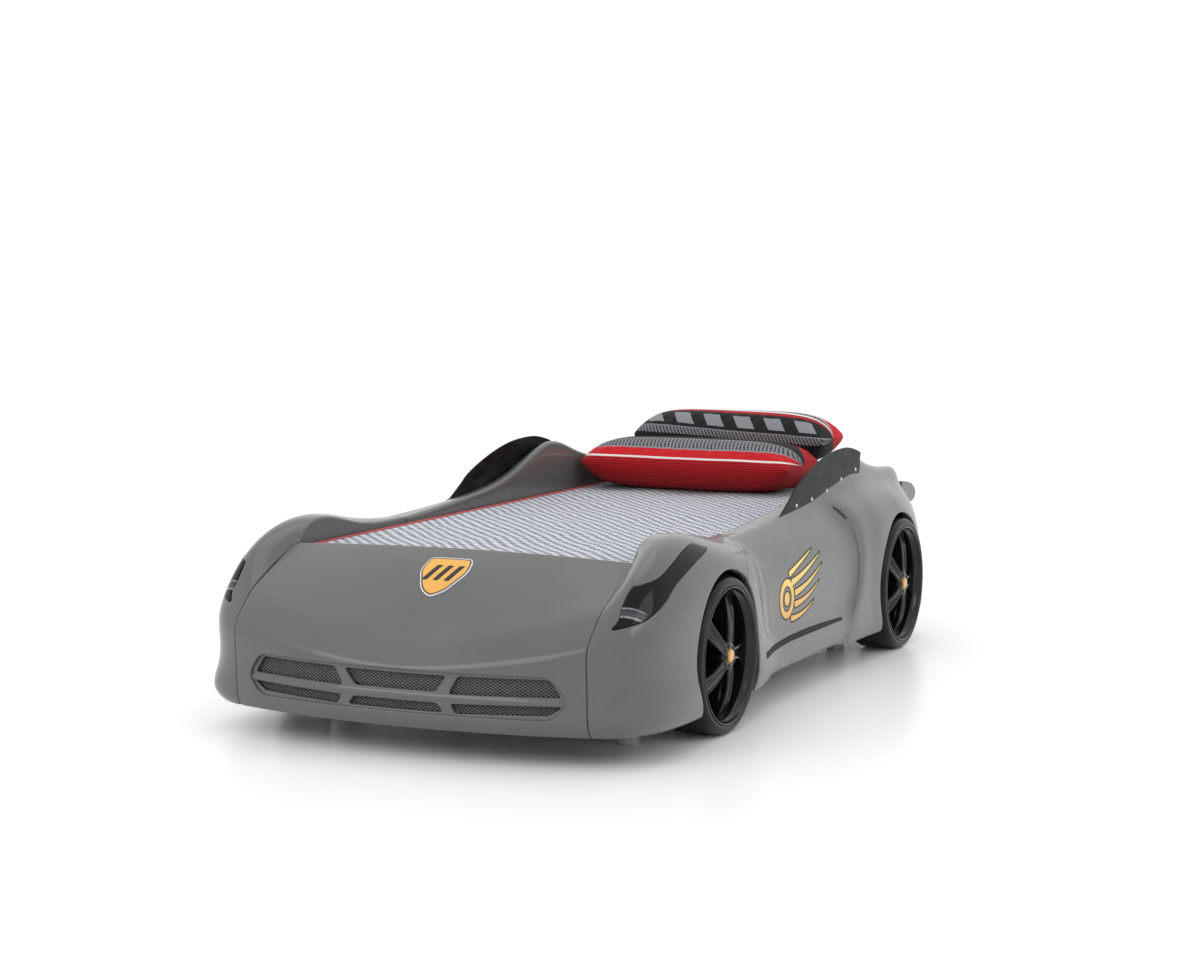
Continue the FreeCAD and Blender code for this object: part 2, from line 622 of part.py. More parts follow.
# ---------------------------------------------------------------- bedding
GAP = 0.6
MATTRESS_CORNER = 45
MATTRESS_EDGE = [(0, 8), (8, 2), (30, 0), (MATTRESS_H - 30, 0), (MATTRESS_H - 8, 2), (MATTRESS_H, 9)]


def mattress():
    """Foam mattress with soft corners and edges."""
    y0 = FOOT_WALL_Y + 4
    rings = []
    for z, inset in MATTRESS_EDGE:
        ring = []
        for sx, sy, start in ((1, 1, 0), (-1, 1, 90), (-1, -1, 180), (1, -1, 270)):
            centre = V(sx * (MATTRESS_W / 2 - MATTRESS_CORNER),
                       y0 + MATTRESS_L / 2 + sy * (MATTRESS_L / 2 - MATTRESS_CORNER), BED_Z + GAP + z)
            for k in range(6):
                a = radians(start + 18 * k)
                ring.append(centre + V(cos(a), sin(a), 0) * (MATTRESS_CORNER - inset))
        rings.append(ring)
    return faceted(rings)


PILLOW_STATIONS = (-1, -0.985, -0.93, -0.8, -0.5, -0.15, 0.15, 0.5, 0.8, 0.93, 0.985, 1)


def pillow(centre, length, depth, rise, sag):
    """Plump pillow, fullest in the middle and rounded off at its ends and seams."""
    rings = []
    for t in PILLOW_STATIONS:
        fullness = (1 - abs(t) ** 4.5) ** 0.5 * 0.86 + 0.14
        half = (0.93 + 0.07 * t * t) * depth / 2 * (1 - 0.10 * abs(t) ** 12)
        ring = []
        for k in range(20):
            a = 2 * pi * k / 20
            crown = abs(sin(a)) ** 0.9 * fullness
            height = crown * rise if sin(a) >= 0 else -crown * sag
            ring.append(centre + V(t * length / 2, half * cos(a), height))
        rings.append(ring)
    return faceted(rings)


BADGE_AT = (10, -990)
BADGE_R, BADGE_WAVE = 62, 0.10
BADGE_PROUD = 2.5


def bonnet_badge(panel_grid):
    """Plain four-lobed plate on the bonnet."""
    outline = []
    for k in range(16):
        a = 2 * pi * k / 16
        reach = BADGE_R * (1 + BADGE_WAVE * cos(4 * a))
        outline.append(V(BADGE_AT[0] + reach * cos(a), BADGE_AT[1] + reach * sin(a), 300))
    return skin_solid(panel_grid, BADGE_PROUD, BADGE_PROUD).common(prism(outline, V(0, 0, 220)))


# ---------------------------------------------------------------- write every piece
def save(name, shape):
    """Write one node, its solids apart."""
    solids = shape if isinstance(shape, list) else shape.Solids
    whole = solids[0] if len(solids) == 1 else Part.makeCompound(solids)
    whole.exportStep("parts/" + name + ".step")
    print(name, len(solids), all(s.isValid() for s in solids), round(sum(s.Volume for s in solids) / 1000))


def save_pair(name, shape):
    save(name + "_left", shape)
    other = [mirrored(s) for s in (shape if isinstance(shape, list) else shape.Solids)]
    save(name + "_right", other)


os.makedirs("parts", exist_ok=True)

front = front_panel()
wing_shell, lamp_lens = wing()
wing_shell = wing_shell.cut(front).cut(mirrored(front))
side_shell, sill_strip, vent = side_panel()
side_shell = side_shell.cut(timber_space())
pane, side_shell, window_screws = window_with_screws(side_shell)
screws = panel_screws()
for screw in screws:
    if screw.BoundBox.XMin > 0:
        wing_shell = wing_shell.cut(screw)
        side_shell = side_shell.cut(screw)
tail = skin_solid(sampled(tail_net(), *TAIL_GRID)).cut(side_shell).cut(mirrored(side_shell))
spoiler = tail_wing([side_shell, mirrored(side_shell), tail])
badge = bonnet_badge(sampled(front_net(), *FRONT_GRID))

save("front_panel", front)
save("grille_mesh", grille_mesh())
save("bonnet_badge", badge)
save_pair("wing", wing_shell)
save_pair("headlight", lamp_lens)
save_pair("side_panel", side_shell)
save_pair("sill_strip", sill_strip)
save_pair("shoulder_vent", vent)
save_pair("side_window", pane)
save("window_screws", window_screws + [mirrored(s) for s in window_screws])
save("rear_panel", tail)
save("tail_wing", spoiler)

wheel_bolts = []
tyre, rim, cap, bolts = wheel(FRONT_AXLE_Y)
for end, axle_y, wall in (("front", FRONT_AXLE_Y, wing_shell), ("rear", REAR_AXLE_Y, side_shell)):
    along = V(0, axle_y - FRONT_AXLE_Y, 0)
    save_pair("tyre_" + end, tyre.translated(along))
    save_pair("rim_" + end, rim.translated(along))
    save_pair("centre_cap_" + end, cap.translated(along))
    save_pair("wheel_bracket_" + end, wheel_bracket(axle_y).cut(wall))
    there = [bolt.translated(along) for bolt in bolts]
    wheel_bolts += there + [mirrored(bolt) for bolt in there]
save("wheel_bolts", wheel_bolts)

rail = side_rail()
for screw in screws:
    if screw.BoundBox.XMin > 0:
        rail = rail.cut(screw)
save_pair("side_rail", rail)
save("foot_board", cross_board(RAIL_Y0))
save("head_board", cross_board(RAIL_Y1 - RAIL_T))
save("centre_beam", centre_beam())
for index in range(SLAT_COUNT):
    save("slat_%02d" % (index + 1), slat(index))
save("feet", [foot(x, y) for x, y in FOOT_PLACES])
save("corner_brackets", corner_brackets())
save("panel_screws", screws)

save("mattress", mattress())
save("pillow_front", pillow(V(-90, 854, 523), 700, 325, 71, 81))
save("pillow_rear", pillow(V(-60, 1105, 590), 650, 225, 76, 84))
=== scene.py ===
from math import cos, pi, radians, sin

import bmesh
import bpy
import numpy as np
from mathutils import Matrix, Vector


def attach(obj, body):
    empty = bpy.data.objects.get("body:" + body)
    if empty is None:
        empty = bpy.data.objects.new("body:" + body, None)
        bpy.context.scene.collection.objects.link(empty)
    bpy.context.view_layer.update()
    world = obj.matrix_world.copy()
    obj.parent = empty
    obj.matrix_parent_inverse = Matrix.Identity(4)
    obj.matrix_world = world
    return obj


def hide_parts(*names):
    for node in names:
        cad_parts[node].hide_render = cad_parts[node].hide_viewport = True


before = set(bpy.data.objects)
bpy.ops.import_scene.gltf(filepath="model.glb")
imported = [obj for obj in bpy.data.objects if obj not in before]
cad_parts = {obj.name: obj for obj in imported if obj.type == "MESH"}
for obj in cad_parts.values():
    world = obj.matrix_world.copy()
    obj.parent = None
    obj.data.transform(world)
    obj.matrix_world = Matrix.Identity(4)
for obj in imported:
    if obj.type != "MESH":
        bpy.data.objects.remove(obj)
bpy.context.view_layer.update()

SIDES = ((1, "left"), (-1, "right"))

bl_info = {
    "name": "Racing car bed",
    "version": (1, 0, 0),
    "blender": (4, 5, 0),
    "location": "3D View > Sidebar > Car bed",
    "description": "Builds the visible surfaces of a child's car bed around its frame",
    "category": "Object",
}

# The body's lines below are in millimetres, as on the drawing board; MM turns them into metres.
MM = 0.001
FRONT_AXLE_Y, REAR_AXLE_Y, AXLE_Z = -632, 760, 195
ARCH_R = 212
INNER_X = 460
SEAM_X, REAR_SEAM_X, WALL_FOOT_Z, CORNER_Y = 473, 440, 105, -836
FRONT_BOW, GRILLE_BOW_Y, GRILLE_HALF, GRILLE_BOW = 65, -1223, 430, 52
EDGE_ROLL = 3.0
EDGE_FLANGE = 12
SHELL_WALL = 2.5
PANEL_GAP = 1.2


def V(x, y, z):
    return Vector((x, y, z))


# ---------------------------------------------------------------- the shared lines of the body
# Rails run along the car, from the bottom edge (0) over the top (10) and down the inner wall (13).
# The front seam profile: (y, z) of each rail where the bumper moulding meets the wing.
FRONT_SEAM = [(-1139, 72), (-1160, 98), (-1157, 165), (-1163, 240), (-1164, 284), (-1122, 322),
              (-1090, 353), (-1051, 372), (-966, 412), (-898, 444), (-887, 449), (-887, 436),
              (-887, 300), (-887, WALL_FOOT_Z)]

# The rear seam profile, where the side moulding meets the tail.
REAR_SEAM = [(1084, 85), (1104, 100), (1109, 170), (1109, 240), (1109, 310), (1109, 370),
             (1109, 420), (1101, 452), (1068, 474), (1062, 508), (1026, 512), (1024, 499),
             (1024, 300), (1024, WALL_FOOT_Z)]

# Upper rails of the wing, round the front corner and back along the wheel.
WING_SHOULDER = [(530, -1114, 335), (572, -1056, 352), (594, -956, 378), (605, -856, 398),
                 (609, -736, 413), (610, -636, 418), (608, -536, 408), (604, -416, 388), (600, -296, 370)]
WING_RIDGE = [(532, -1076, 384), (562, -1011, 412), (575, -921, 437), (583, -831, 455),
              (586, -736, 463), (585, -636, 458), (581, -536, 443), (574, -416, 425), (567, -296, 413)]
WING_CREST = [(520, -1026, 430), (534, -961, 469), (537, -891, 492), (536, -816, 504),
              (533, -736, 505), (528, -636, 490), (522, -536, 472), (517, -416, 459), (513, -296, 454)]
WING_SLOPE = [(492, -951, 452), (494, -894, 481), (494, -848, 498), (493, -798, 506),
              (491, -726, 505), (489, -636, 489), (487, -536, 468), (484, -416, 458), (483, -296, 458)]
WING_EDGE = [(463, -871, 473), (461, -838, 491), (461, -804, 499), (461, -768, 502),
             (461, -711, 496), (461, -626, 475), (461, -536, 458), (461, -416, 455), (461, -296, 458)]

# Lower rails of the wing: corner ellipse exponent, side offset from the seam, height at seam and side.
WING_LOW = [(2.3, 136, 72, 72), (3.4, 160, 98, 98), (2.3, 140, 165, 170), (2.4, 140, 240, 240),
            (2.5, 139, 284, 310)]
WING_SIDE_X = [(608, 607, 606, 605, 603), (623, 621, 618, 614, 612), (614, 615, 614, 612, 608),
               (614, 615, 614, 612, 608), (614, 615, 614, 612, 607)]
WING_ANGLES = [22, 45, 66, 88]
WING_SIDE_Y = [-736, -636, -536, -416, -296]

# Side sections: (x, z) of rails 0 to 8.
FLARE = [(605, 72), (618, 99), (611, 170), (609, 240), (609, 310), (606, 385),
         (578, 430), (520, 462), (487, 462)]
LEAD = [(597, 74), (611, 99), (601, 170), (594, 240), (593, 310), (590, 385),
        (570, 430), (520, 462), (487, 462)]
DOOR = [(572, 83), (592, 97), (591, 150), (578, 180), (579, 270), (576, 345),
        (566, 400), (541, 437), (514, 464)]
HAUNCH = [(584, 72), (602, 88), (602, 160), (600, 220), (600, 290), (597, 360),
          (585, 425), (554, 468), (510, 487)]
TAIL = [(600, 75), (614, 95), (611, 160), (610, 220), (610, 290), (608, 370),
        (596, 425), (562, 465), (510, 487)]
DOOR_LEAD = [-296, -296, -311, -321, -336, -361, -391, -411, -416]
DOOR_STEP = [294, 304, 339, 379, 409, 409, 379, 334, 304]
TAIL_CORNER_Y = [904, 904, 904, 894, 864, 824, 774, 764, 994, 994, 994, 994, 994, 994]
TAIL_POWER = [2.3, 2.4, 2.3, 2.3, 2.2, 2.1, 2.0, 2.0, 2.4, 2.4, 3, 3, 3, 3]
# Top line of the side wall: (y, z), with the hump that carries the side window.
TOP_LINE = [(-636, 478), (-556, 459), (-466, 454), (-366, 455), (-286, 458), (-186, 464), (-86, 471),
            (64, 482), (164, 491), (239, 503), (330, 528), (424, 562), (494, 588), (564, 603),
            (624, 597), (689, 577), (764, 549), (824, 536), (914, 526), (1014, 515), (1064, 512)]

# Where the wing ends and the door moulding starts, a diagonal cut in plan.
SPLIT_A = (455, -335)
SPLIT_B = (640, -540)


def lerp(a, b, t):
    return a + (b - a) * t


def along_line(line, y):
    """Height of a (y, z) line at y."""
    if y <= line[0][0]:
        return line[0][1]
    for (y0, z0), (y1, z1) in zip(line, line[1:]):
        if y <= y1:
            return lerp(z0, z1, (y - y0) / (y1 - y0))
    return line[-1][1]


# ---------------------------------------------------------------- the nets of the body mouldings
def front_net():
    """Bonnet and bumper in one, from seam to seam."""
    rows = []
    for x in (-473, -400, -300, -150, 0, 150, 300, 400, 473):
        t = abs(x) / SEAM_X
        bow = FRONT_BOW * (1 - t ** 2.2)
        dome = 1 - t * t
        drops = [(bow, 0), (bow, 0), (bow, 0), (bow, 35 * (1 - t ** 1.6)), (bow * 0.92, 66 * (1 - t ** 1.7)),
                 (82 * dome, 82 * (1 - t ** 1.5)), (98 * dome, 98 * (1 - t ** 1.35)),
                 (88 * dome, 75 * (1 - t ** 1.5)), (30 * dome, 5 * dome), (0, -12 * dome), (0, -12 * dome)]
        row = [V(x, y - dy, z - dz) for (y, z), (dy, dz) in zip(FRONT_SEAM, drops)]
        row += [V(x * 0.97, y, z) for y, z in FRONT_SEAM[11:]]
        rows.append(row)
    return rows


def wing_net():
    """Left wing, from the front seam round the corner to behind the wheel."""
    rails = []
    for index, (power, reach, z_seam, z_side) in enumerate(WING_LOW):
        y_seam = FRONT_SEAM[index][0]
        rail = [V(SEAM_X, y_seam, z_seam)]
        for k, angle in enumerate(WING_ANGLES, 1):
            x = SEAM_X + reach * sin(radians(angle)) ** (2 / power)
            y = CORNER_Y - (CORNER_Y - y_seam) * cos(radians(angle)) ** (2 / power)
            rail.append(V(x, y, lerp(z_seam, z_side, k / 4)))
        rail += [V(x, y, z_side) for x, y in zip(WING_SIDE_X[index], WING_SIDE_Y)]
        rails.append(rail)
    for index, line in enumerate((WING_SHOULDER, WING_RIDGE, WING_CREST, WING_SLOPE), 5):
        rails.append([V(SEAM_X, *FRONT_SEAM[index])] + [V(*p) for p in line])
    edge = [V(465, *FRONT_SEAM[10])] + [V(*p) for p in WING_EDGE]
    rails.append([V(468, *FRONT_SEAM[9])] + [p + V(10, 0, 2) for p in edge[1:]])
    rails.append(edge)
    rails.append([V(INNER_X, p.y, p.z - 13) for p in edge])
    rails.append([V(INNER_X, p.y, 300) for p in edge])
    rails.append([V(INNER_X, p.y, WALL_FOOT_Z) for p in edge])
    return [list(station) for station in zip(*rails)]


def side_station(section, y, wall_y=None, foot_z=None):
    """One station of the side net: the section outside, the top line and the inner wall."""
    row = [V(x, wall_y[i] if wall_y else y, z) for i, (x, z) in enumerate(section)]
    if foot_z:
        row[8].z = foot_z
    top = along_line(TOP_LINE, y)
    row += [V(497 if foot_z else 472, y, top - 2), V(INNER_X + 1, y, top + 2), V(INNER_X, y, top - 14)]
    return row + [V(INNER_X, y, 300), V(INNER_X, y, WALL_FOOT_Z)]


def side_net():
    """Left side: door, haunch over the rear wheel and the corner of the tail."""
    rows = [side_station(FLARE, -556),
            side_station(FLARE, -466),
            side_station(LEAD, -396, [y - 35 for y in DOOR_LEAD]),
            side_station(DOOR, -316, [y + 30 for y in DOOR_LEAD], 458),
            side_station(DOOR, -136, None, 462),
            side_station(DOOR, 24, None, 470),
            side_station(DOOR, 184, None, 478),
            side_station(DOOR, 294, [y - 25 for y in DOOR_STEP], 484),
            side_station(HAUNCH, 394, [y + 20 for y in DOOR_STEP], 490),
            side_station(HAUNCH, 484, None, 505),
            side_station(TAIL, 564, None, 510),
            side_station(TAIL, 654, None, 505),
            side_station(TAIL, 764, None, 497)]
    last = side_station(TAIL, 924, None, 487)
    start_y = [894, 894, 894, 894, 864, 824, 784, 764, 904, 904, 904, 904, 904, 904]
    rows.append([V(p.x, y, p.z) for p, y in zip(last, start_y)])
    for angle in (24, 47, 68, 90):
        row = []
        for p, (y, z), corner, power in zip(last, REAR_SEAM, TAIL_CORNER_Y, TAIL_POWER):
            x = REAR_SEAM_X + (p.x - REAR_SEAM_X) * max(cos(radians(angle)), 0) ** (2 / power)
            row.append(V(x if angle < 90 else REAR_SEAM_X,
                         corner + (y - corner) * sin(radians(angle)) ** (2 / power),
                         lerp(p.z, z, angle / 90)))
        rows.append(row)
    return rows


def tail_net():
    """Rear face with its deck and the wall behind the mattress, from seam to seam."""
    rows = []
    for x in (440, 300, 120, -120, -300, -440):
        bulge = 12 * (1 - (x / REAR_SEAM_X) ** 2)
        rows.append([V(x, y + (bulge if 1 <= i <= 4 else 0), z) for i, (y, z) in enumerate(REAR_SEAM)])
    return rows


LAMP_AT = V(550, -936, 430)
LAMP_DIR = V(0.5, -0.45, 0.74).normalized()
LAMP_OUTLINE = [(194, 125), (93, 24), (39, -29), (0, -74), (-40, -109), (-77, -132), (-121, -144),
                (-157, -142), (-137, -123), (-119, -89), (-87, -49), (-62, -46), (-15, -27), (20, 1),
                (61, 42), (108, 91), (145, 124), (173, 128)]


# ---------------------------------------------------------------- numpy surface tools
def basis(count, t):
    """Clamped uniform cubic basis: one row of weights per value of t, by the Cox-de Boor recursion."""
    knots = np.concatenate([np.zeros(3), np.linspace(0, 1, count - 2), np.ones(3)])
    t = np.clip(np.asarray(t, float), 0, 1 - 1e-12)
    weights = np.array([(t >= knots[i]) & (t < knots[i + 1]) for i in range(len(knots) - 1)], float)
    for degree in (1, 2, 3):
        raised = np.zeros((len(knots) - 1 - degree, len(t)))
        for i in range(len(raised)):
            rise, fall = knots[i + degree] - knots[i], knots[i + degree + 1] - knots[i + 1]
            if rise > 0:
                raised[i] += (t - knots[i]) / rise * weights[i]
            if fall > 0:
                raised[i] += (knots[i + degree + 1] - t) / fall * weights[i + 1]
        weights = raised
    return weights.T


def surface(net, u, v):
    """Points of the cubic surface over a net of poles, metres: basis in u times the net times basis in v."""
    poles = np.array([[tuple(p) for p in row] for row in net]) * MM
    return np.einsum("ui,vj,ijk->uvk", basis(len(net), u), basis(len(net[0]), v), poles)


def grid_normals(points):
    """Outward unit normals of a grid: the cross product of its two directions."""
    normals = np.cross(np.gradient(points, axis=0), np.gradient(points, axis=1))
    return normals / np.maximum(np.linalg.norm(normals, axis=2, keepdims=True), 1e-12)


def border_distance(points, inset, sides="uUvV"):
    """Distance along the grid lines from its four borders, less the inset; lower case is the first border."""
    field = np.full(points.shape[:2], 1e3)
    for axis, first, last in ((0, "u", "U"), (1, "v", "V")):
        steps = np.linalg.norm(np.diff(points, axis=axis), axis=2)
        run = np.concatenate([np.zeros_like(steps.take([0], axis)), np.cumsum(steps, axis)], axis)
        whole = run.take([-1], axis)
        if first in sides:
            field = np.minimum(field, run - inset)
        if last in sides:
            field = np.minimum(field, whole - run - inset)
    return field


def outline_distance(outline, x, y):
    """Signed distance from a closed outline, positive outside: nearest edge, sign by crossing count."""
    a = np.asarray(outline, float)
    b = np.roll(a, -1, 0)
    p = np.stack([x.ravel(), y.ravel()], 1)
    nearest = np.full(len(p), 1e9)
    inside = np.zeros(len(p), bool)
    for (ax, ay), (bx, by) in zip(a, b):
        dx, dy = bx - ax, by - ay
        t = np.clip(((p[:, 0] - ax) * dx + (p[:, 1] - ay) * dy) / (dx * dx + dy * dy + 1e-18), 0, 1)
        nearest = np.minimum(nearest, np.hypot(p[:, 0] - ax - t * dx, p[:, 1] - ay - t * dy))
        if ay != by:
            crosses = ((ay > p[:, 1]) != (by > p[:, 1])) & (p[:, 0] < dx * (p[:, 1] - ay) / dy + ax)
            inside ^= crosses
    return np.where(inside, -nearest, nearest).reshape(np.shape(x))


def rounded_outline(points, radius, steps=5):
    """Closed outline whose corners are cut by short parabolas that start a radius away from each."""
    p = np.asarray(points, float)
    before, after = np.roll(p, 1, 0) - p, np.roll(p, -1, 0) - p
    reach = np.minimum(radius, 0.45 * np.minimum(np.hypot(*before.T), np.hypot(*after.T)))[:, None]
    start = p + before / np.hypot(*before.T)[:, None] * reach
    end = p + after / np.hypot(*after.T)[:, None] * reach
    t = np.linspace(0, 1, steps)[None, :, None]
    curve = (1 - t) ** 2 * start[:, None] + 2 * t * (1 - t) * p[:, None] + t ** 2 * end[:, None]
    return curve.reshape(-1, 2)


def spline(before, start, end, after, steps):
    """Catmull-Rom points of every stretch from start to end: a cubic whose slope at a point is half the
    way between its neighbours."""
    t = (np.arange(steps) / steps)[None, :, None]
    before, start, end, after = (q[:, None] for q in (before, start, end, after))
    curve = 0.5 * (2 * start + (end - before) * t + (2 * before - 5 * start + 4 * end - after) * t ** 2
                   + (3 * start - before - 3 * end + after) * t ** 3)
    return curve.reshape(-1, 2)


def smooth_outline(points, steps):
    """Closed Catmull-Rom curve through the points."""
    p = np.asarray(points, float)
    return spline(np.roll(p, 1, 0), p, np.roll(p, -1, 0), np.roll(p, -2, 0), steps)


def smooth_line(points, steps=8):
    """Open Catmull-Rom curve through the points, its ends carried straight on."""
    p = np.array(points, float)
    p = np.concatenate([[2 * p[0] - p[1]], p, [2 * p[-1] - p[-2]]])
    return np.concatenate([spline(p[:-3], p[1:-2], p[2:-1], p[3:], steps), p[-2:-1]])


# A cut stays this share of a cell's side away from its corners, so that no sliver is left.
CUT_MARGIN = 0.04


def cut_grid(points, normals, field):
    """Cells of a grid where the field is positive; a cell on the zero line is clipped along it."""
    nu, nv = field.shape
    ids = np.arange(nu * nv).reshape(nu, nv)
    verts, norms = [points.reshape(-1, 3)], [normals.reshape(-1, 3)]
    cross_u = np.full((nu - 1, nv), -1)
    cross_v = np.full((nu, nv - 1), -1)
    total = nu * nv
    for table, a, b, pa, pb, na, nb in (
            (cross_u, field[:-1], field[1:], points[:-1], points[1:], normals[:-1], normals[1:]),
            (cross_v, field[:, :-1], field[:, 1:], points[:, :-1], points[:, 1:],
             normals[:, :-1], normals[:, 1:])):
        hit = (a > 0) != (b > 0)
        t = np.clip(a[hit] / (a[hit] - b[hit]), CUT_MARGIN, 1 - CUT_MARGIN)[:, None]
        verts.append(pa[hit] * (1 - t) + pb[hit] * t)
        norms.append(na[hit] * (1 - t) + nb[hit] * t)
        table[hit] = total + np.arange(hit.sum())
        total += int(hit.sum())
    verts, norms = np.concatenate(verts), np.concatenate(norms)
    norms /= np.maximum(np.linalg.norm(norms, axis=1, keepdims=True), 1e-12)
    keep = field > 0
    corners = np.stack([keep[:-1, :-1], keep[1:, :-1], keep[1:, 1:], keep[:-1, 1:]])
    whole = corners.all(0)
    faces = np.stack([ids[:-1, :-1], ids[1:, :-1], ids[1:, 1:], ids[:-1, 1:]], -1)[whole].tolist()
    for i, j in np.argwhere(corners.any(0) & ~whole):
        loop = ((ids[i, j], keep[i, j], cross_u[i, j]), (ids[i + 1, j], keep[i + 1, j], cross_v[i + 1, j]),
                (ids[i + 1, j + 1], keep[i + 1, j + 1], cross_u[i, j + 1]),
                (ids[i, j + 1], keep[i, j + 1], cross_v[i, j]))
        ring = []
        for corner, kept, crossing in loop:
            if kept:
                ring.append(int(corner))
            if crossing >= 0:
                ring.append(int(crossing))
        if len(ring) > 2:
            faces.append(ring)
    return verts, norms, faces


def open_edges(faces):
    """Directed edges that only one face uses."""
    edges = np.array([(f[k], f[(k + 1) % len(f)]) for f in faces for k in range(len(f))])
    big = edges.max() + 1
    code = edges.min(1) * big + edges.max(1)
    _, inverse, count = np.unique(code, return_inverse=True, return_counts=True)
    return edges[count[inverse] == 1]


def rolled_edge(verts, norms, faces, radius, depth, steps=3):
    """Every open edge turned inwards: a quarter round of the radius, then a flange of the depth."""
    edges = open_edges(faces)
    rim = np.unique(edges)
    place = np.full(len(verts), -1)
    place[rim] = np.arange(len(rim))
    out = np.zeros((len(rim), 3))
    along = verts[edges[:, 1]] - verts[edges[:, 0]]
    along /= np.maximum(np.linalg.norm(along, axis=1, keepdims=True), 1e-12)
    for end in (0, 1):
        np.add.at(out, place[edges[:, end]], np.cross(along, norms[edges[:, end]]))
    normal = norms[rim]
    out -= (out * normal).sum(1, keepdims=True) * normal
    out /= np.maximum(np.linalg.norm(out, axis=1, keepdims=True), 1e-9)
    turns = [pi / 2 * k / steps for k in range(1, steps + 1)]
    rings, levels = [], [(sin(turn), 1 - cos(turn), 0) for turn in turns]
    levels.append((1, 1, depth))
    for side, drop, extra in levels:
        rings.append(verts[rim] + out * radius * side - normal * (radius * drop + extra))
    base = len(verts)
    verts = np.concatenate([verts] + rings)
    a, b = edges[:, 0], edges[:, 1]
    pa, pb = place[a], place[b]
    for k in range(len(rings)):
        na, nb = base + k * len(rim) + pa, base + k * len(rim) + pb
        faces = faces + np.stack([b, a, na, nb], 1).tolist()
        a, b = na, nb
    return verts, faces


def used_points(faces):
    """Numbers of the points that the faces use, in order."""
    return np.unique(np.concatenate([np.asarray(face) for face in faces]))


def new_mesh(name, verts, faces, smooth=True):
    """Mesh object at the origin, without the points that no face uses."""
    used = used_points(faces)
    place = np.full(len(verts), -1)
    place[used] = np.arange(len(used))
    mesh = bpy.data.meshes.new(name)
    mesh.from_pydata(np.asarray(verts)[used].tolist(), [], [place[np.asarray(f)].tolist() for f in faces])
    mesh.validate()
    if smooth:
        mesh.shade_smooth()
    piece = bpy.data.objects.new(name, mesh)
    bpy.context.scene.collection.objects.link(piece)
    return piece


def grid_faces(nu, nv, wrap_u=False, wrap_v=False):
    """Quads of a grid of nu by nv points, closed on itself where asked."""
    i = np.arange(nu if wrap_u else nu - 1)[:, None]
    j = np.arange(nv if wrap_v else nv - 1)[None, :]
    i2, j2 = (i + 1) % nu, (j + 1) % nv
    return np.stack([i * nv + j, i2 * nv + j, i2 * nv + j2, i * nv + j2], -1).reshape(-1, 4).tolist()


def end_caps(nu, nv):
    """The two faces that close a tube of nu rings of nv points."""
    last = (nu - 1) * nv
    return [list(range(nv)), [last + k for k in reversed(range(nv))]]


def mirrored(verts, faces):
    """The same piece on the car's other side."""
    return np.asarray(verts) * (-1, 1, 1), [list(reversed(f)) for f in faces]


def finish_piece(piece, material, body, replaced=(), slot=None):
    piece.data.materials.append(material)
    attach(piece, body)
    if replaced:
        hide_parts(*replaced)
    return piece


def on_both_sides(name, shape, material, replaced, slot, paint=None, wall=0):
    """A left piece and its mirror image; paint is (attribute name, its value at every point)."""
    verts, faces = shape
    for side, word in SIDES:
        place, loops = (verts, faces) if side > 0 else mirrored(verts, faces)
        piece = new_mesh(name + "_" + word, place, loops)
        if paint:
            layer = piece.data.attributes.new(paint[0], "FLOAT_VECTOR", "POINT")
            layer.data.foreach_set("vector", paint[1][used_points(faces)].ravel())
        if wall:
            thicken(piece, wall)
        finish_piece(piece, material(), "bed", tuple(node + "_" + word for node in replaced), slot)


def thicken(piece, thickness):
    """Even wall, grown inwards."""
    wall = piece.modifiers.new("wall", "SOLIDIFY")
    wall.thickness = thickness
    wall.offset = -1
    return piece


def moulding(name, net, u, v, field, replaced, side=0, relief=None):
    """Painted shell over a net: cut where the field says, its edges rolled in.

    field(points, normals) gives the distance inside the kept area; relief(points, normals) moves the skin."""
    radius = EDGE_ROLL * MM
    points = surface(net, u, v)
    normals = grid_normals(points)
    if relief:
        points = relief(points, normals)
    verts, norms, faces = cut_grid(points, normals, field(points, normals) - radius)
    verts, faces = rolled_edge(verts, norms, faces, radius, EDGE_FLANGE * MM)
    if side < 0:
        verts, faces = mirrored(verts, faces)
    piece = thicken(new_mesh(name, verts, faces), SHELL_WALL * MM)
    return finish_piece(piece, body_paint(), "bed", replaced, "body_paint")


def spread(*stretches):
    """Parameter values joined from (start, end, count) stretches."""
    return np.unique(np.concatenate([np.linspace(a, b, n) for a, b, n in stretches]))


# ---------------------------------------------------------------- finishes
MADE = {}


def finish_of(name, build):
    """Each finish is made once."""
    if name not in MADE:
        MADE[name] = build(name)
    return MADE[name]


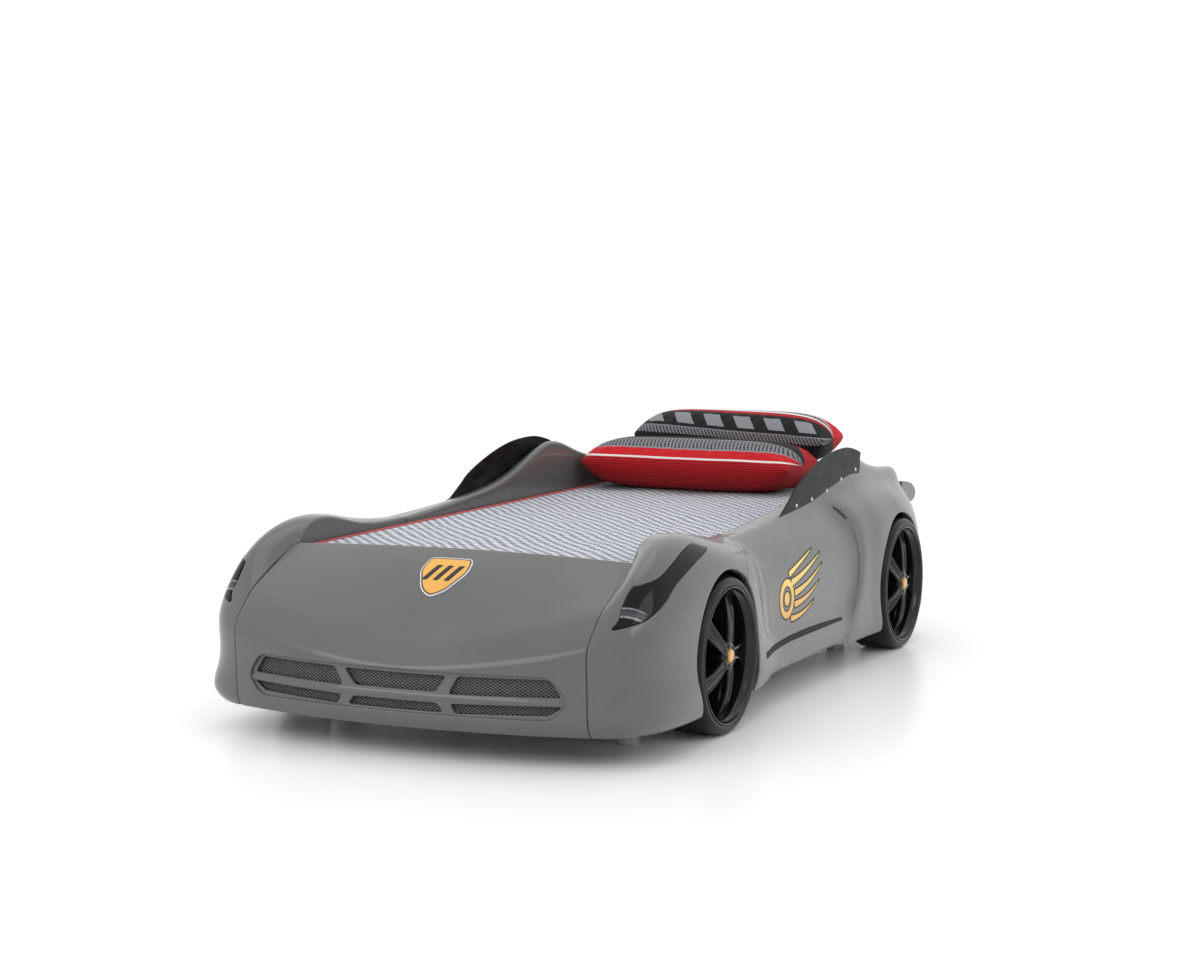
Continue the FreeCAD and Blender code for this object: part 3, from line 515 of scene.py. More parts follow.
class Finish:
    """One node material: a principled shader with helpers for the textures that drive it."""

    def __init__(self, name, colour, roughness, **sockets):
        self.material = bpy.data.materials.new(name)
        self.material.use_nodes = True
        self.nodes = self.material.node_tree.nodes
        self.links = self.material.node_tree.links
        self.shader = self.nodes["Principled BSDF"]
        self.shader.inputs["Base Color"].default_value = (*colour, 1)
        self.shader.inputs["Roughness"].default_value = roughness
        for socket, value in sockets.items():
            self.shader.inputs[socket.replace("_", " ")].default_value = value
        self.coords = self.nodes.new("ShaderNodeTexCoord").outputs["Object"]
        self.material.diffuse_color = (*colour, 1)

    def node(self, kind, **values):
        made = self.nodes.new(kind)
        for key, value in values.items():
            setattr(made, key, value)
        return made

    def mapping(self, scale, turn):
        made = self.node("ShaderNodeMapping")
        made.inputs["Scale"].default_value = scale
        made.inputs["Rotation"].default_value = turn
        self.links.new(self.coords, made.inputs["Vector"])
        return made.outputs["Vector"]

    def noise(self, scale, detail=3.0, vector=None, stretch=None, turn=(0, 0, 0)):
        if stretch:
            vector = self.mapping(stretch, turn)
        made = self.node("ShaderNodeTexNoise")
        made.inputs["Scale"].default_value = scale
        made.inputs["Detail"].default_value = detail
        self.links.new(vector or self.coords, made.inputs["Vector"])
        return made.outputs["Fac"]

    def ramp(self, value, stops, steps=False):
        made = self.node("ShaderNodeValToRGB")
        made.color_ramp.interpolation = "CONSTANT" if steps else "LINEAR"
        ramp = made.color_ramp.elements
        while len(ramp) < len(stops):
            ramp.new(0.5)
        for stop, (place, colour) in zip(ramp, stops):
            stop.position = place
            stop.color = colour if isinstance(colour, tuple) else (colour, colour, colour, 1)
        self.links.new(value, made.inputs["Fac"])
        return made.outputs["Color"]

    def maths(self, operation, a, b=0.0, c=0.0):
        made = self.node("ShaderNodeMath", operation=operation)
        for socket, value in zip(made.inputs, (a, b, c)):
            if isinstance(value, (int, float)):
                socket.default_value = value
            else:
                self.links.new(value, socket)
        return made.outputs["Value"]

    def mix(self, factor, a, b):
        made = self.node("ShaderNodeMix", data_type="RGBA")
        for index, value in ((0, factor), (6, a), (7, b)):
            if isinstance(value, (tuple, float, int)):
                made.inputs[index].default_value = value
            else:
                self.links.new(value, made.inputs[index])
        return made.outputs[2]

    def split(self, vector=None):
        made = self.node("ShaderNodeSeparateXYZ")
        self.links.new(vector or self.coords, made.inputs[0])
        return made.outputs

    def attribute(self, name):
        return self.node("ShaderNodeAttribute", attribute_name=name).outputs

    def colour(self, value):
        self.links.new(value, self.shader.inputs["Base Color"])

    def rough(self, value):
        self.links.new(value, self.shader.inputs["Roughness"])

    def bump(self, height, strength, distance=0.001):
        made = self.node("ShaderNodeBump")
        made.inputs["Strength"].default_value = strength
        made.inputs["Distance"].default_value = distance
        self.links.new(height, made.inputs["Height"])
        self.links.new(made.outputs["Normal"], self.shader.inputs["Normal"])


def shades(colour, spread_by):
    """Two neighbours of a colour, darker and lighter."""
    return [(*(max(0.0, c * (1 + k * spread_by)) for c in colour), 1) for k in (-1, 1)]


LACQUER_SPECULAR, LACQUER_RIPPLE = 0.3, 0.006


def lacquer(name, colour, roughness, coat):
    """Glossy plastic: faint cloudy shade, faint ripple, thin clear coat."""
    def build(title):
        finish = Finish(title, colour, roughness, Coat_Weight=coat, Coat_Roughness=0.04,
                        Specular_IOR_Level=LACQUER_SPECULAR)
        low, high = shades(colour, 0.05)
        finish.colour(finish.ramp(finish.noise(4.0), [(0.3, low), (0.7, high)]))
        finish.rough(finish.ramp(finish.noise(22.0), [(0.3, roughness * 0.85), (0.7, roughness * 1.15)]))
        finish.bump(finish.noise(55.0, 1.0), LACQUER_RIPPLE, 0.0004)
        return finish.material
    return finish_of(name, build)


def textured(name, colour, roughness, tint=None, gloss=None, grain=None, **sockets):
    """Even finish with noise in its colour (tint), its roughness (gloss) or its height (grain).

    tint and gloss are the noise's values and the ramp's stops; grain is its values, strength and depth."""
    def build(title):
        finish = Finish(title, colour, roughness, **sockets)
        if tint:
            finish.colour(finish.ramp(finish.noise(**tint[0]), tint[1]))
        if gloss:
            finish.rough(finish.ramp(finish.noise(**gloss[0]), gloss[1]))
        if grain:
            finish.bump(finish.noise(**grain[0]), *grain[1:])
        return finish.material
    return finish_of(name, build)


def body_paint():
    return lacquer("grey_paint", tuple(bpy.context.scene.bed_colours.paint), 0.26, 0.35)


def gloss_black():
    return lacquer("rim_black", tuple(bpy.context.scene.bed_colours.rim), 0.14, 0.12)


def amber_gloss():
    return lacquer("amber_gloss", tuple(bpy.context.scene.bed_colours.amber), 0.25, 0.5)


def badge_white():
    return lacquer("badge_white", (0.62, 0.62, 0.66), 0.3, 0.4)


def smoked_sheet():
    return textured("smoked_sheet", (0.012, 0.012, 0.014), 0.2, Specular_IOR_Level=0.05,
                    tint=(dict(scale=9.0, detail=6.0, stretch=(1, 1, 3), turn=(0.4, 0, 0)),
                          [(0.42, (0.006, 0.007, 0.008, 1)), (0.78, (0.020, 0.025, 0.026, 1))]),
                    gloss=(dict(scale=60.0, detail=5.0), [(0.4, 0.18), (0.8, 0.40)]))


def tyre_black():
    return textured("tyre_black", (0.010, 0.010, 0.011), 0.34, Specular_IOR_Level=0.2,
                    tint=(dict(scale=14.0),
                          [(0.3, (0.006, 0.006, 0.007, 1)), (0.7, (0.010, 0.010, 0.011, 1))]),
                    grain=(dict(scale=900.0, detail=2.0), 0.12, 0.0005))


def matt_black():
    return textured("matt_black", (0.012, 0.012, 0.012), 0.6,
                    gloss=(dict(scale=80.0), [(0.3, 0.5), (0.7, 0.7)]))


def mesh_grey():
    return textured("mesh_grey", (0.20, 0.20, 0.21), 0.4, Metallic=0.3,
                    gloss=(dict(scale=60.0), [(0.3, 0.3), (0.7, 0.45)]))


def bright_steel():
    return textured("bright_steel", (0.55, 0.55, 0.56), 0.25, Metallic=1.0,
                    gloss=(dict(scale=60.0, detail=2.0, stretch=(1, 14, 1)), [(0.3, 0.2), (0.7, 0.35)]))


def foot_grey():
    return textured("foot_grey", (0.34, 0.34, 0.35), 0.5, Specular_IOR_Level=0.3,
                    grain=(dict(scale=400.0), 0.1, 0.0004))


def grained_wood(name, light, dark, along):
    """Long grain: noise stretched along the board, with thin darker rings."""
    def build(title):
        finish = Finish(title, light, 0.5)
        grain = finish.noise(3.0, 6.0, stretch=tuple(1.2 if axis == along else 16 for axis in "XYZ"))
        finish.colour(finish.ramp(grain, [(0.3, (*dark, 1)), (0.55, (*light, 1)), (0.8, (*dark, 1))]))
        finish.bump(grain, 0.1, 0.0006)
        return finish.material
    return finish_of(name, build)


# ---------------------------------------------------------------- front moulding and grille
HEX_FRAME = [(392, 214), (432, 158), (396, 112), (-396, 112), (-432, 158), (-392, 214)]
OPENINGS = [[(136, 203), (108, 166), (-108, 166), (-136, 203)],
            [(112, 138), (127, 118), (-127, 118), (-112, 138)],
            [(165, 204), (385, 206), (412, 167), (142, 163)],
            [(146, 138), (414, 144), (384, 124), (158, 117)]]
FRAME_DEPTH = 9
BAR_RISE, BAR_Z, BAR_HALF = 3.5, 152, 7
FRAME_MARGIN = 4
FRAME_X, FRAME_Z = 446, (98, 228)
FRAME_ROLL, FRAME_FLANGE, FRAME_WALL = 3.5, 10, 2


def bow_y(x):
    """The bumper's face in plan, metres: an arc that falls back by GRILLE_BOW at GRILLE_HALF."""
    half, rise = GRILLE_HALF * MM, GRILLE_BOW * MM
    radius = (half ** 2 + rise ** 2) / (2 * rise)
    return GRILLE_BOW_Y * MM + radius - np.sqrt(radius ** 2 - x ** 2)


def bumper_grid(x_count, z_count, depth):
    """Grid behind the bumper's face: x across, z up, y from the bow plus a depth."""
    x = np.linspace(-FRAME_X, FRAME_X, x_count)[:, None] * MM + np.zeros(z_count)
    z = np.linspace(*FRAME_Z, z_count)[None, :] * MM + np.zeros((x_count, 1))
    return np.stack([x, bow_y(x) + depth, z], 2)


def both_openings():
    """Outlines of the six openings, metres."""
    found = [np.array(o, float) for o in OPENINGS]
    found += [o * (-1, 1) for o in found[2:]]
    return [rounded_outline(o, 9) * MM for o in found]


def build_front():
    """Bonnet and bumper moulding, then the frame set back in it with a raised bar along its middle."""
    hexagon = rounded_outline(HEX_FRAME, 26) * MM

    def field(points, normals):
        kept = border_distance(points, PANEL_GAP / 2 * MM)
        hole = outline_distance(hexagon, points[..., 0], points[..., 2])
        return np.minimum(kept, np.where(normals[..., 1] < -0.5, hole, 1e3))

    moulding("front_moulding", front_net(), spread((0, 0.08, 22), (0.08, 0.92, 150), (0.92, 1, 22)),
             spread((0, 0.1, 24), (0.1, 0.4, 70), (0.4, 0.8, 44), (0.8, 1, 12)), field, ("front_panel",))

    points = bumper_grid(300, 64, FRAME_DEPTH * MM)
    points[..., 1] -= BAR_RISE * MM * np.exp(-((points[..., 2] / MM - BAR_Z) / BAR_HALF) ** 2)
    field = FRAME_MARGIN * MM - outline_distance(hexagon, points[..., 0], points[..., 2])
    for opening in both_openings():
        field = np.minimum(field, outline_distance(opening, points[..., 0], points[..., 2]))
    radius = FRAME_ROLL * MM
    verts, norms, faces = cut_grid(points, grid_normals(points), field - radius)
    verts, faces = rolled_edge(verts, norms, faces, radius, FRAME_FLANGE * MM)
    bars = thicken(new_mesh("grille_frame", verts, faces), FRAME_WALL * MM)
    finish_piece(bars, body_paint(), "bed", (), "body_paint")


WIRE_R, WIRE_SLOPE, WIRE_STEPS = 0.9, 0.62, 12
NET_X, NET_Z = 438, (104, 222)
NET_DEPTH, SHEET_DEPTH = FRAME_DEPTH + 12.5, FRAME_DEPTH + 17


def build_grille_mesh():
    """Two families of slanting wires on the bow, four-sided tubes, over a dark sheet that is painted shade
    for the grille's dark inside.
    """
    low, high = NET_Z[0] * MM, NET_Z[1] * MM
    run = (high - low) / WIRE_SLOPE
    reach = (NET_X + 2) * MM + run
    t = np.linspace(0, 1, WIRE_STEPS)[None, :]
    tubes = []
    for lean in (-1, 1):
        start = np.arange(-reach, reach, bpy.context.scene.bed_sizes.wire_pitch)[:, None]
        x = np.clip(start + lean * (t - 0.5) * run, -NET_X * MM, NET_X * MM)
        z = low + (high - low) * t + 0 * x
        centre = np.stack([x, bow_y(x) + (NET_DEPTH + 0.5 * lean) * MM, z], 2)
        ring = np.array([(1, 0, -0.6), (0, -1, 0), (-1, 0, 0.6), (0, 1, 0)]) * WIRE_R * MM * (lean, 1, 1)
        wires = centre[:, :, None, :] + ring[None, None]
        i = np.arange(len(start))[:, None, None] * WIRE_STEPS * 4
        j = np.arange(WIRE_STEPS - 1)[None, :, None] * 4
        k = np.arange(4)[None, None, :]
        k2 = (k + 1) % 4
        quads = np.stack([i + j + k, i + j + k2, i + j + 4 + k2, i + j + 4 + k], -1).reshape(-1, 4)
        keep = np.abs(centre[:, :-1, 0] - centre[:, 1:, 0]).repeat(4, 1).reshape(-1) > 1e-5
        tubes.append((wires.reshape(-1, 3), quads[keep]))
    net = new_mesh("grille_wires", *joined(tubes), smooth=False)
    finish_piece(net, mesh_grey(), "bed", ("grille_mesh",), "black_mesh")
    # Matt black sheet behind the wires: painted shade standing in for the shaded inside of the grille.
    points = bumper_grid(60, 8, SHEET_DEPTH * MM) * (0.97, 1, 1)
    sheet = new_mesh("grille_backing", points.reshape(-1, 3), grid_faces(60, 8))
    finish_piece(thicken(sheet, 0.001), matt_black(), "bed", (), "trim_black")


# ---------------------------------------------------------------- wings and lamps
def lamp_axes():
    """Across, up and out of the lamp's own plane."""
    across = Vector((0, 0, 1)).cross(LAMP_DIR).normalized()
    return np.array(across), np.array(LAMP_DIR.cross(across)), np.array(LAMP_DIR)


def lamp_place(points):
    """A point's place in the lamp's own plane, metres."""
    across, up, _ = lamp_axes()
    away = points - np.array(LAMP_AT) * MM
    return away @ across, away @ up


def lamp_field(points, normals):
    """Distance outside the lamp's outline, on the faces that look its way."""
    s, t = lamp_place(points)
    outline = smooth_outline(LAMP_OUTLINE, 5) * MM
    facing = normals @ lamp_axes()[2]
    return np.where(facing > 0.15, outline_distance(outline, s, t), 1e3)


def arch_field(points, axle_y):
    """Distance outside the wheel arch; the inner wall has none."""
    reach = np.hypot(points[..., 1] - axle_y * MM, points[..., 2] - AXLE_Z * MM) - ARCH_R * MM
    return np.where(points[..., 0] > (INNER_X + 8) * MM, reach, 1e3)


def split_field(points):
    """Distance ahead of the diagonal joint between wing and side."""
    ax, ay = SPLIT_A[0] * MM, SPLIT_A[1] * MM
    dx, dy = SPLIT_B[0] * MM - ax, SPLIT_B[1] * MM - ay
    length = np.hypot(dx, dy)
    return ((points[..., 0] - ax) * dy - (points[..., 1] - ay) * dx) / length


def build_wings():
    """Both wings, cut for the lamp, the wheel and the joint with the side."""
    def field(points, normals):
        kept = np.minimum(border_distance(points, PANEL_GAP / 2 * MM, "uvV"), lamp_field(points, normals))
        kept = np.minimum(kept, arch_field(points, FRONT_AXLE_Y))
        return np.minimum(kept, split_field(points) - PANEL_GAP / 2 * MM)

    u = spread((0, 0.06, 12), (0.06, 1, 160))
    v = spread((0, 0.12, 26), (0.12, 0.82, 130), (0.82, 1, 16))
    for side, name in SIDES:
        moulding("wing_moulding_" + name, wing_net(), u, v, field, ("wing_" + name,), side=side)


LENS_ROLL, LENS_FLANGE, LENS_GAP, LENS_PROUD, LENS_WALL = 1.5, 4, 0.8, 0.6, 1.5


def build_lamps():
    """Smoked lens on the wing's own surface, cut to the lamp's outline."""
    points = surface(wing_net(), np.linspace(0, 0.9, 170), np.linspace(0.3, 0.85, 130))
    normals = grid_normals(points)
    field = -lamp_field(points, normals) - (LENS_ROLL + LENS_GAP) * MM
    verts, norms, faces = cut_grid(points, normals, field)
    verts = verts + norms * LENS_PROUD * MM
    verts, faces = rolled_edge(verts, norms, faces, LENS_ROLL * MM, LENS_FLANGE * MM)
    s, t = lamp_place(verts)
    on_both_sides("lamp_lens", (verts, faces), lamp_glass, ("headlight",), "smoked_acrylic",
                  ("lamp", np.stack([s, t, np.zeros_like(s)], 1)), LENS_WALL * MM)


def lamp_glass():
    """Black glass; near the front tip two pale bars across the lamp: the projector inside, painted as lit
    glints.
    """
    def build(name):
        finish = Finish(name, (0.006, 0.006, 0.007), 0.08, Specular_IOR_Level=0.14)
        place = finish.split(finish.attribute("lamp")["Vector"])
        bars = finish.maths("ADD", place[1], finish.maths("MULTIPLY", place[0], 0.35))
        bands = finish.ramp(finish.maths("MULTIPLY_ADD", bars, 4.0, 0.9),
                            [(0.0, 0.0), (0.235, 0.0), (0.245, 1.0), (0.265, 0.15), (0.33, 0.1), (0.34, 0.8),
                             (0.352, 0.0)])
        tip = finish.ramp(finish.maths("MULTIPLY_ADD", place[0], -6.0, 0.0), [(0.38, 0.0), (0.46, 1.0)])
        sparkle = finish.noise(70.0, 4.0, finish.attribute("lamp")["Vector"])
        glint_amount = finish.maths("MULTIPLY", finish.maths("MULTIPLY", bands, tip), sparkle)
        # Painted glints: pale blue-white bars with sparkle, mixed into the black lens colour.
        finish.colour(finish.mix(glint_amount, (0.006, 0.006, 0.007, 1), (0.62, 0.68, 0.74, 1)))
        return finish.material
    return finish_of("lamp_glass", build)


# ---------------------------------------------------------------- sides, tail
# Creases of the side, (y, z) from the top down: the door's leading edge, then the haunch's.
DOOR_CREASE = [(-369, 430), (-369, 403), (-328, 381), (-301, 352), (-292, 299), (-283, 242), (-266, 190)]
HAUNCH_CREASE = [(378, 404), (398, 350), (404, 302), (396, 251), (372, 197), (330, 150)]
CREASE_STEP, CREASE_WIDTH, CREASE_REACH, CREASE_FADE = 3.6, 2.4, 30, 30


def crease_distance(line, y, z):
    """Signed distance from a crease that runs down the side, positive behind it."""
    line = np.array(line, float) * MM
    down = line[::-1]
    behind = y - np.interp(z, down[:, 1], down[:, 0])
    slope = np.interp(z, down[:, 1], np.gradient(down[:, 0], down[:, 1]))
    return behind / np.sqrt(1 + slope ** 2)


def side_relief(points, normals):
    """Small steps in the side: the door sinks behind its leading crease, the haunch rises from its own.

    Each is a ridge that falls off exponentially ahead of the line and stops short behind it."""
    y, z = points[..., 1], points[..., 2]
    lift = np.zeros(y.shape)
    for line, sign in ((DOOR_CREASE, 1), (HAUNCH_CREASE, -1)):
        low, high = line[-1][1] * MM, line[0][1] * MM
        away = crease_distance(smooth_line(line), y, z) * sign / MM
        fade = np.clip((z - low + 0.01) / (CREASE_FADE * MM), 0, 1)
        fade = fade * np.clip((high + 0.01 - z) / (CREASE_FADE * MM), 0, 1)
        ridge = np.exp(-np.clip(-away, 0, None) / CREASE_REACH) * np.clip(0.5 - away / CREASE_WIDTH, 0, 1)
        lift += CREASE_STEP * MM * ridge * fade
    return points + normals * (lift * np.clip(normals[..., 0] * 2, 0, 1))[..., None]


def side_skin(u, v):
    """Grid of the side's skin with its creases, and its normals."""
    points = surface(side_net(), u, v)
    normals = grid_normals(points)
    return side_relief(points, normals), normals


def build_sides():
    """Both sides, cut for the wheels and the joint with the wing."""
    def field(points, normals):
        kept = border_distance(points, PANEL_GAP / 2 * MM, "UvV")
        for axle_y in (FRONT_AXLE_Y, REAR_AXLE_Y):
            kept = np.minimum(kept, arch_field(points, axle_y))
        return np.minimum(kept, -split_field(points) - PANEL_GAP / 2 * MM)

    u = spread((0, 0.10, 26), (0.10, 0.24, 66), (0.24, 0.42, 34), (0.42, 0.58, 76), (0.58, 0.94, 90),
               (0.94, 1, 12))
    v = spread((0, 0.12, 20), (0.12, 0.8, 90), (0.8, 1, 12))
    for side, name in SIDES:
        moulding("side_moulding_" + name, side_net(), u, v, field, ("side_panel_" + name,), side=side,
                 relief=side_relief)


def build_tail():
    """Rear face with its deck and the wall behind the mattress."""
    def field(points, normals):
        return border_distance(points, PANEL_GAP / 2 * MM)

    moulding("tail_moulding", tail_net(), np.linspace(0, 1, 120), spread((0, 0.75, 110), (0.75, 1, 14)),
             field, ("rear_panel",))


TAIL_WING_HALF = 500
# Stations along the spoiler: place as a share of its half length, and how far each shrinks at the ends.
WING_STATIONS = [-1, -1, -0.998, -0.97, -0.9, -0.885, -0.6, -0.2, 0.2, 0.6, 0.885, 0.9, 0.97, 0.998, 1, 1]
WING_SHRINK = [0.048, 0.0144, 0, 0, 0, 0, 0, 0, 0, 0, 0, 0, 0, 0, 0.0144, 0.048]
# Its front edge in y: at the middle, past the first step and past the second.
WING_FRONT, WING_STEP_AT = (1112, 1106, 1078), (0.89, 0.95)
WING_SECTION = [(1060, 402), (1060, 466), (1100, 466), (1134, 461), (1170, 455), (1204, 440), (1218, 424),
                (1216, 410), (1200, 400), (1176, 396), (1154, 395), (1110, 397)]


def build_tail_wing():
    """D section carried across the tail; its front edge steps back towards both ends."""
    section = rounded_outline(WING_SECTION, 8, 4) * MM
    x = np.array(WING_STATIONS)
    middle, inner, outer = (y * MM for y in WING_FRONT)
    front = np.where(np.abs(x) > WING_STEP_AT[1], outer, np.where(np.abs(x) > WING_STEP_AT[0], inner, middle))
    centre = section.mean(0)
    ring = centre + (section[None] - centre) * (1 - np.array(WING_SHRINK)[:, None, None])
    y = np.maximum(ring[..., 0], front[:, None])
    points = np.stack([np.repeat(x[:, None] * TAIL_WING_HALF * MM, len(section), 1), y, ring[..., 1]], 2)
    faces = grid_faces(len(x), len(section), wrap_v=True) + end_caps(len(x), len(section))
    piece = new_mesh("tail_spoiler", points.reshape(-1, 3), faces)
    face_out(piece)
    finish_piece(piece, body_paint(), "bed", ("tail_wing",), "body_paint")


def face_out(piece):
    """Normals recalculated on a closed mesh."""
    mesh = bmesh.new()
    mesh.from_mesh(piece.data)
    bmesh.ops.remove_doubles(mesh, verts=mesh.verts, dist=1e-6)
    bmesh.ops.recalc_face_normals(mesh, faces=mesh.faces)
    mesh.to_mesh(piece.data)
    mesh.free()


def plate(name, outline, x0, x1, chamfer):
    """Flat sheet in the (y, z) plane between two x, its edges chamfered."""
    outline = np.asarray(outline)
    centre_out = np.roll(outline, -1, 0) - np.roll(outline, 1, 0)
    out = np.stack([centre_out[:, 1], -centre_out[:, 0]], 1)
    out /= np.linalg.norm(out, axis=1, keepdims=True)
    area = np.sum(outline[:, 0] * np.roll(outline[:, 1], -1) - np.roll(outline[:, 0], -1) * outline[:, 1])
    out *= np.sign(area)
    rings = []
    for x, inset in ((x0, chamfer), (x0 + chamfer, 0), (x1 - chamfer, 0), (x1, chamfer)):
        flat = outline - out * inset
        rings.append(np.stack([np.full(len(flat), x), flat[:, 0], flat[:, 1]], 1))
    faces = grid_faces(4, len(outline), wrap_v=True) + end_caps(4, len(outline))
    piece = new_mesh(name, np.concatenate(rings), faces, smooth=False)
    face_out(piece)
    return piece


WINDOW_X, WINDOW_T, WINDOW_CHAMFER = 505, 4, 0.7
WINDOW = [(-19, 470), (-9, 474), (55, 509), (98, 534), (173, 562), (268, 589), (353, 606), (433, 614),
          (526, 615), (590, 606), (645, 592), (643, 578), (628, 529), (521, 521), (435, 500), (308, 483),
          (169, 477), (67, 470)]
WINDOW_SCREWS = [(105, 487), (228, 493), (351, 505), (474, 527), (600, 545)]
# Domed screw head with a socket: (height, radius).
SCREW_HEAD = [(0, 6), (1.2, 6), (2.4, 4.8), (3.0, 2.6), (2.2, 1.6), (2.2, 0)]


def build_windows():
    """Both panes, and a row of screw heads on each."""
    for side, name in SIDES:
        pane = plate("window_pane_" + name, smooth_outline(WINDOW, 5) * MM, WINDOW_X * MM,
                     (WINDOW_X + WINDOW_T) * MM, WINDOW_CHAMFER * MM)
        if side < 0:
            flip(pane)
        finish_piece(pane, smoked_sheet(), "bed", ("side_window_" + name,), "smoked_acrylic")
    face_x = WINDOW_X + WINDOW_T - 0.2
    heads = [turned_x(SCREW_HEAD, 20, (face_x, y, z), side) for side, _ in SIDES for y, z in WINDOW_SCREWS]
    screws = new_mesh("window_screw_heads", *joined(heads))
    face_out(screws)
    finish_piece(screws, bright_steel(), "bed", ("window_screws",), "screw_steel")


def flip(piece):
    """Mirror a piece's mesh to the car's other side."""
    mesh = piece.data
    place = np.empty(len(mesh.vertices) * 3)
    mesh.vertices.foreach_get("co", place)
    place.reshape(-1, 3)[:, 0] *= -1
    mesh.vertices.foreach_set("co", place)
    mesh.flip_normals()


def turned_x(profile, sides, centre, side=1):
    """Revolve of an (x, r) profile in millimetres about an axis along X through the centre."""
    a = np.arange(sides) * 2 * pi / sides
    x, r = np.array(profile, float).T
    points = np.stack([np.repeat(x[:, None] + centre[0], sides, 1), centre[1] + r[:, None] * np.sin(a),
                       centre[2] + r[:, None] * np.cos(a)], 2) * MM
    points[..., 0] *= side
    return points.reshape(-1, 3), grid_faces(len(profile), sides, wrap_v=True)


def joined(parts):
    """Points and faces of several (points, faces) shapes as one."""
    verts, faces, base = [], [], 0
    for part_verts, part_faces in parts:
        verts.append(np.asarray(part_verts))
        faces += [[int(k) + base for k in face] for face in part_faces]
        base += len(part_verts)
    return np.concatenate(verts), faces


# ---------------------------------------------------------------- trim on the sides
SILL_UPPER = [(-362, 160), (-255, 165), (-144, 170), (-16, 171), (114, 168), (268, 162)]
SILL_LOWER = [(-362, 143), (-255, 150), (-144, 155), (-16, 155), (114, 154), (268, 153)]
VENT = [(326, 466), (344, 455), (366, 428), (355, 427), (338, 445), (325, 460)]
# Proud, flange and edge radius of each.
SILL_FIT, VENT_FIT = (0.6, 0.8, 0.4), (1.6, 2.0, 0.6)


def on_side(name, outline, fit, u, v, material, replaced, slot, paint=None):
    """Piece that follows the side moulding inside a (y, z) outline.

    fit is how proud it stands, the depth of its flange and the radius of its edge, in millimetres."""
    proud, depth, radius = np.array(fit) * MM
    points, normals = side_skin(u, v)
    inside = -outline_distance(np.asarray(outline) * MM, points[..., 1], points[..., 2])
    field = np.where(normals[..., 0] > 0.1, inside, -1.0) - radius
    verts, norms, faces = cut_grid(points, normals, field)
    verts, faces = rolled_edge(verts + norms * proud, norms, faces, radius, depth)
    layer = ("place", paint(verts)) if paint else None
    on_both_sides(name, (verts, faces), material, replaced, slot, layer)


def sill_finish():
    """Two black lines with a brown-grey band between, by the height across the strip."""
    def build(name):
        finish = Finish(name, (0.03, 0.025, 0.022), 0.5, Specular_IOR_Level=0.1)
        across = finish.split(finish.attribute("place")["Vector"])[0]
        finish.colour(finish.ramp(across, [(0.0, (0.006, 0.006, 0.006, 1)), (0.30, (0.030, 0.018, 0.016, 1)),
                                           (0.70, (0.006, 0.006, 0.006, 1))], steps=True))
        return finish.material
    return finish_of("sill_lines", build)


def build_side_trim():
    """Sill strip, whose paint goes by the height across it, and the slot in the shoulder."""
    upper, lower = np.array(SILL_UPPER, float), np.array(SILL_LOWER, float)

    def across(verts):
        y, z = verts[:, 1] / MM, verts[:, 2] / MM
        low, high = np.interp(y, *lower.T), np.interp(y, *upper.T)
        return np.stack([(z - low) / (high - low), y, z], 1)

    on_side("sill_line", np.concatenate([lower, upper[::-1]]), SILL_FIT, np.linspace(0.02, 0.62, 330),
            np.linspace(0, 0.35, 120), sill_finish, ("sill_strip",), "trim_black", across)
    on_side("vent_slot", VENT, VENT_FIT, np.linspace(0.3, 0.75, 240), np.linspace(0.3, 0.75, 160),
            matt_black, ("shoulder_vent",), "trim_black")


# Speed mark on the door, in (y, z) millimetres: an open ring with tapering streaks behind it.
RING_AT, RING_R, RING_DOT_R = (-150, 268), (52, 34), 18
STREAKS = [((-128, 330), (-50, 350), (60, 378), 7.5), ((-112, 306), (-10, 318), (118, 362), 9.0),
           ((-90, 276), (20, 284), (128, 332), 8.5), ((-92, 246), (10, 246), (100, 288), 8.0),
           ((-120, 212), (-30, 206), (58, 240), 7.5)]


def streak(start, middle, end, width):
    """Outline of a streak: a parabola through three points, thinning to nothing at its end."""
    t = np.linspace(0, 1, 12)[:, None]
    start, middle, end = (np.array(p, float) for p in (start, middle, end))
    line = (1 - t) ** 2 * start + 2 * t * (1 - t) * middle + t ** 2 * end
    along = np.gradient(line, axis=0)
    along /= np.linalg.norm(along, axis=1, keepdims=True)
    across = np.stack([-along[:, 1], along[:, 0]], 1) * width * (1 - t) ** 0.8
    return np.concatenate([line + across, (line - across)[::-1][1:]])


def mark_distance(y, z):
    """Distance outside the mark, metres."""
    reach = np.hypot(y - RING_AT[0] * MM, z - RING_AT[1] * MM)
    away = np.maximum(reach - RING_R[0] * MM, RING_R[1] * MM - reach)
    away = np.minimum(away, reach - RING_DOT_R * MM)
    for values in STREAKS:
        away = np.minimum(away, outline_distance(streak(*values) * MM, y, z))
    return away


# The mark's two layers: how far each grows past the outline and how proud it stands; then edge and flange.
MARK_LAYERS = (("door_mark_edge", 4.2, 0.4), ("door_mark", 0.0, 0.8))
MARK_ROLL, MARK_FLANGE = 0.2, 0.6


def build_door_mark():
    """Yellow mark over a wider black one, both on the door's own skin."""
    points, normals = side_skin(np.linspace(0.08, 0.56, 480), np.linspace(0.14, 0.5, 260))
    away = mark_distance(points[..., 1], points[..., 2])
    for (name, grow, proud), material in zip(MARK_LAYERS, (matt_black, mark_yellow)):
        field = np.where(normals[..., 0] > 0.1, grow * MM - away, -1.0)
        verts, norms, faces = cut_grid(points, normals, field)
        shape = rolled_edge(verts + norms * proud * MM, norms, faces, MARK_ROLL * MM, MARK_FLANGE * MM, 1)
        on_both_sides(name, shape, material, (), "trim_black")


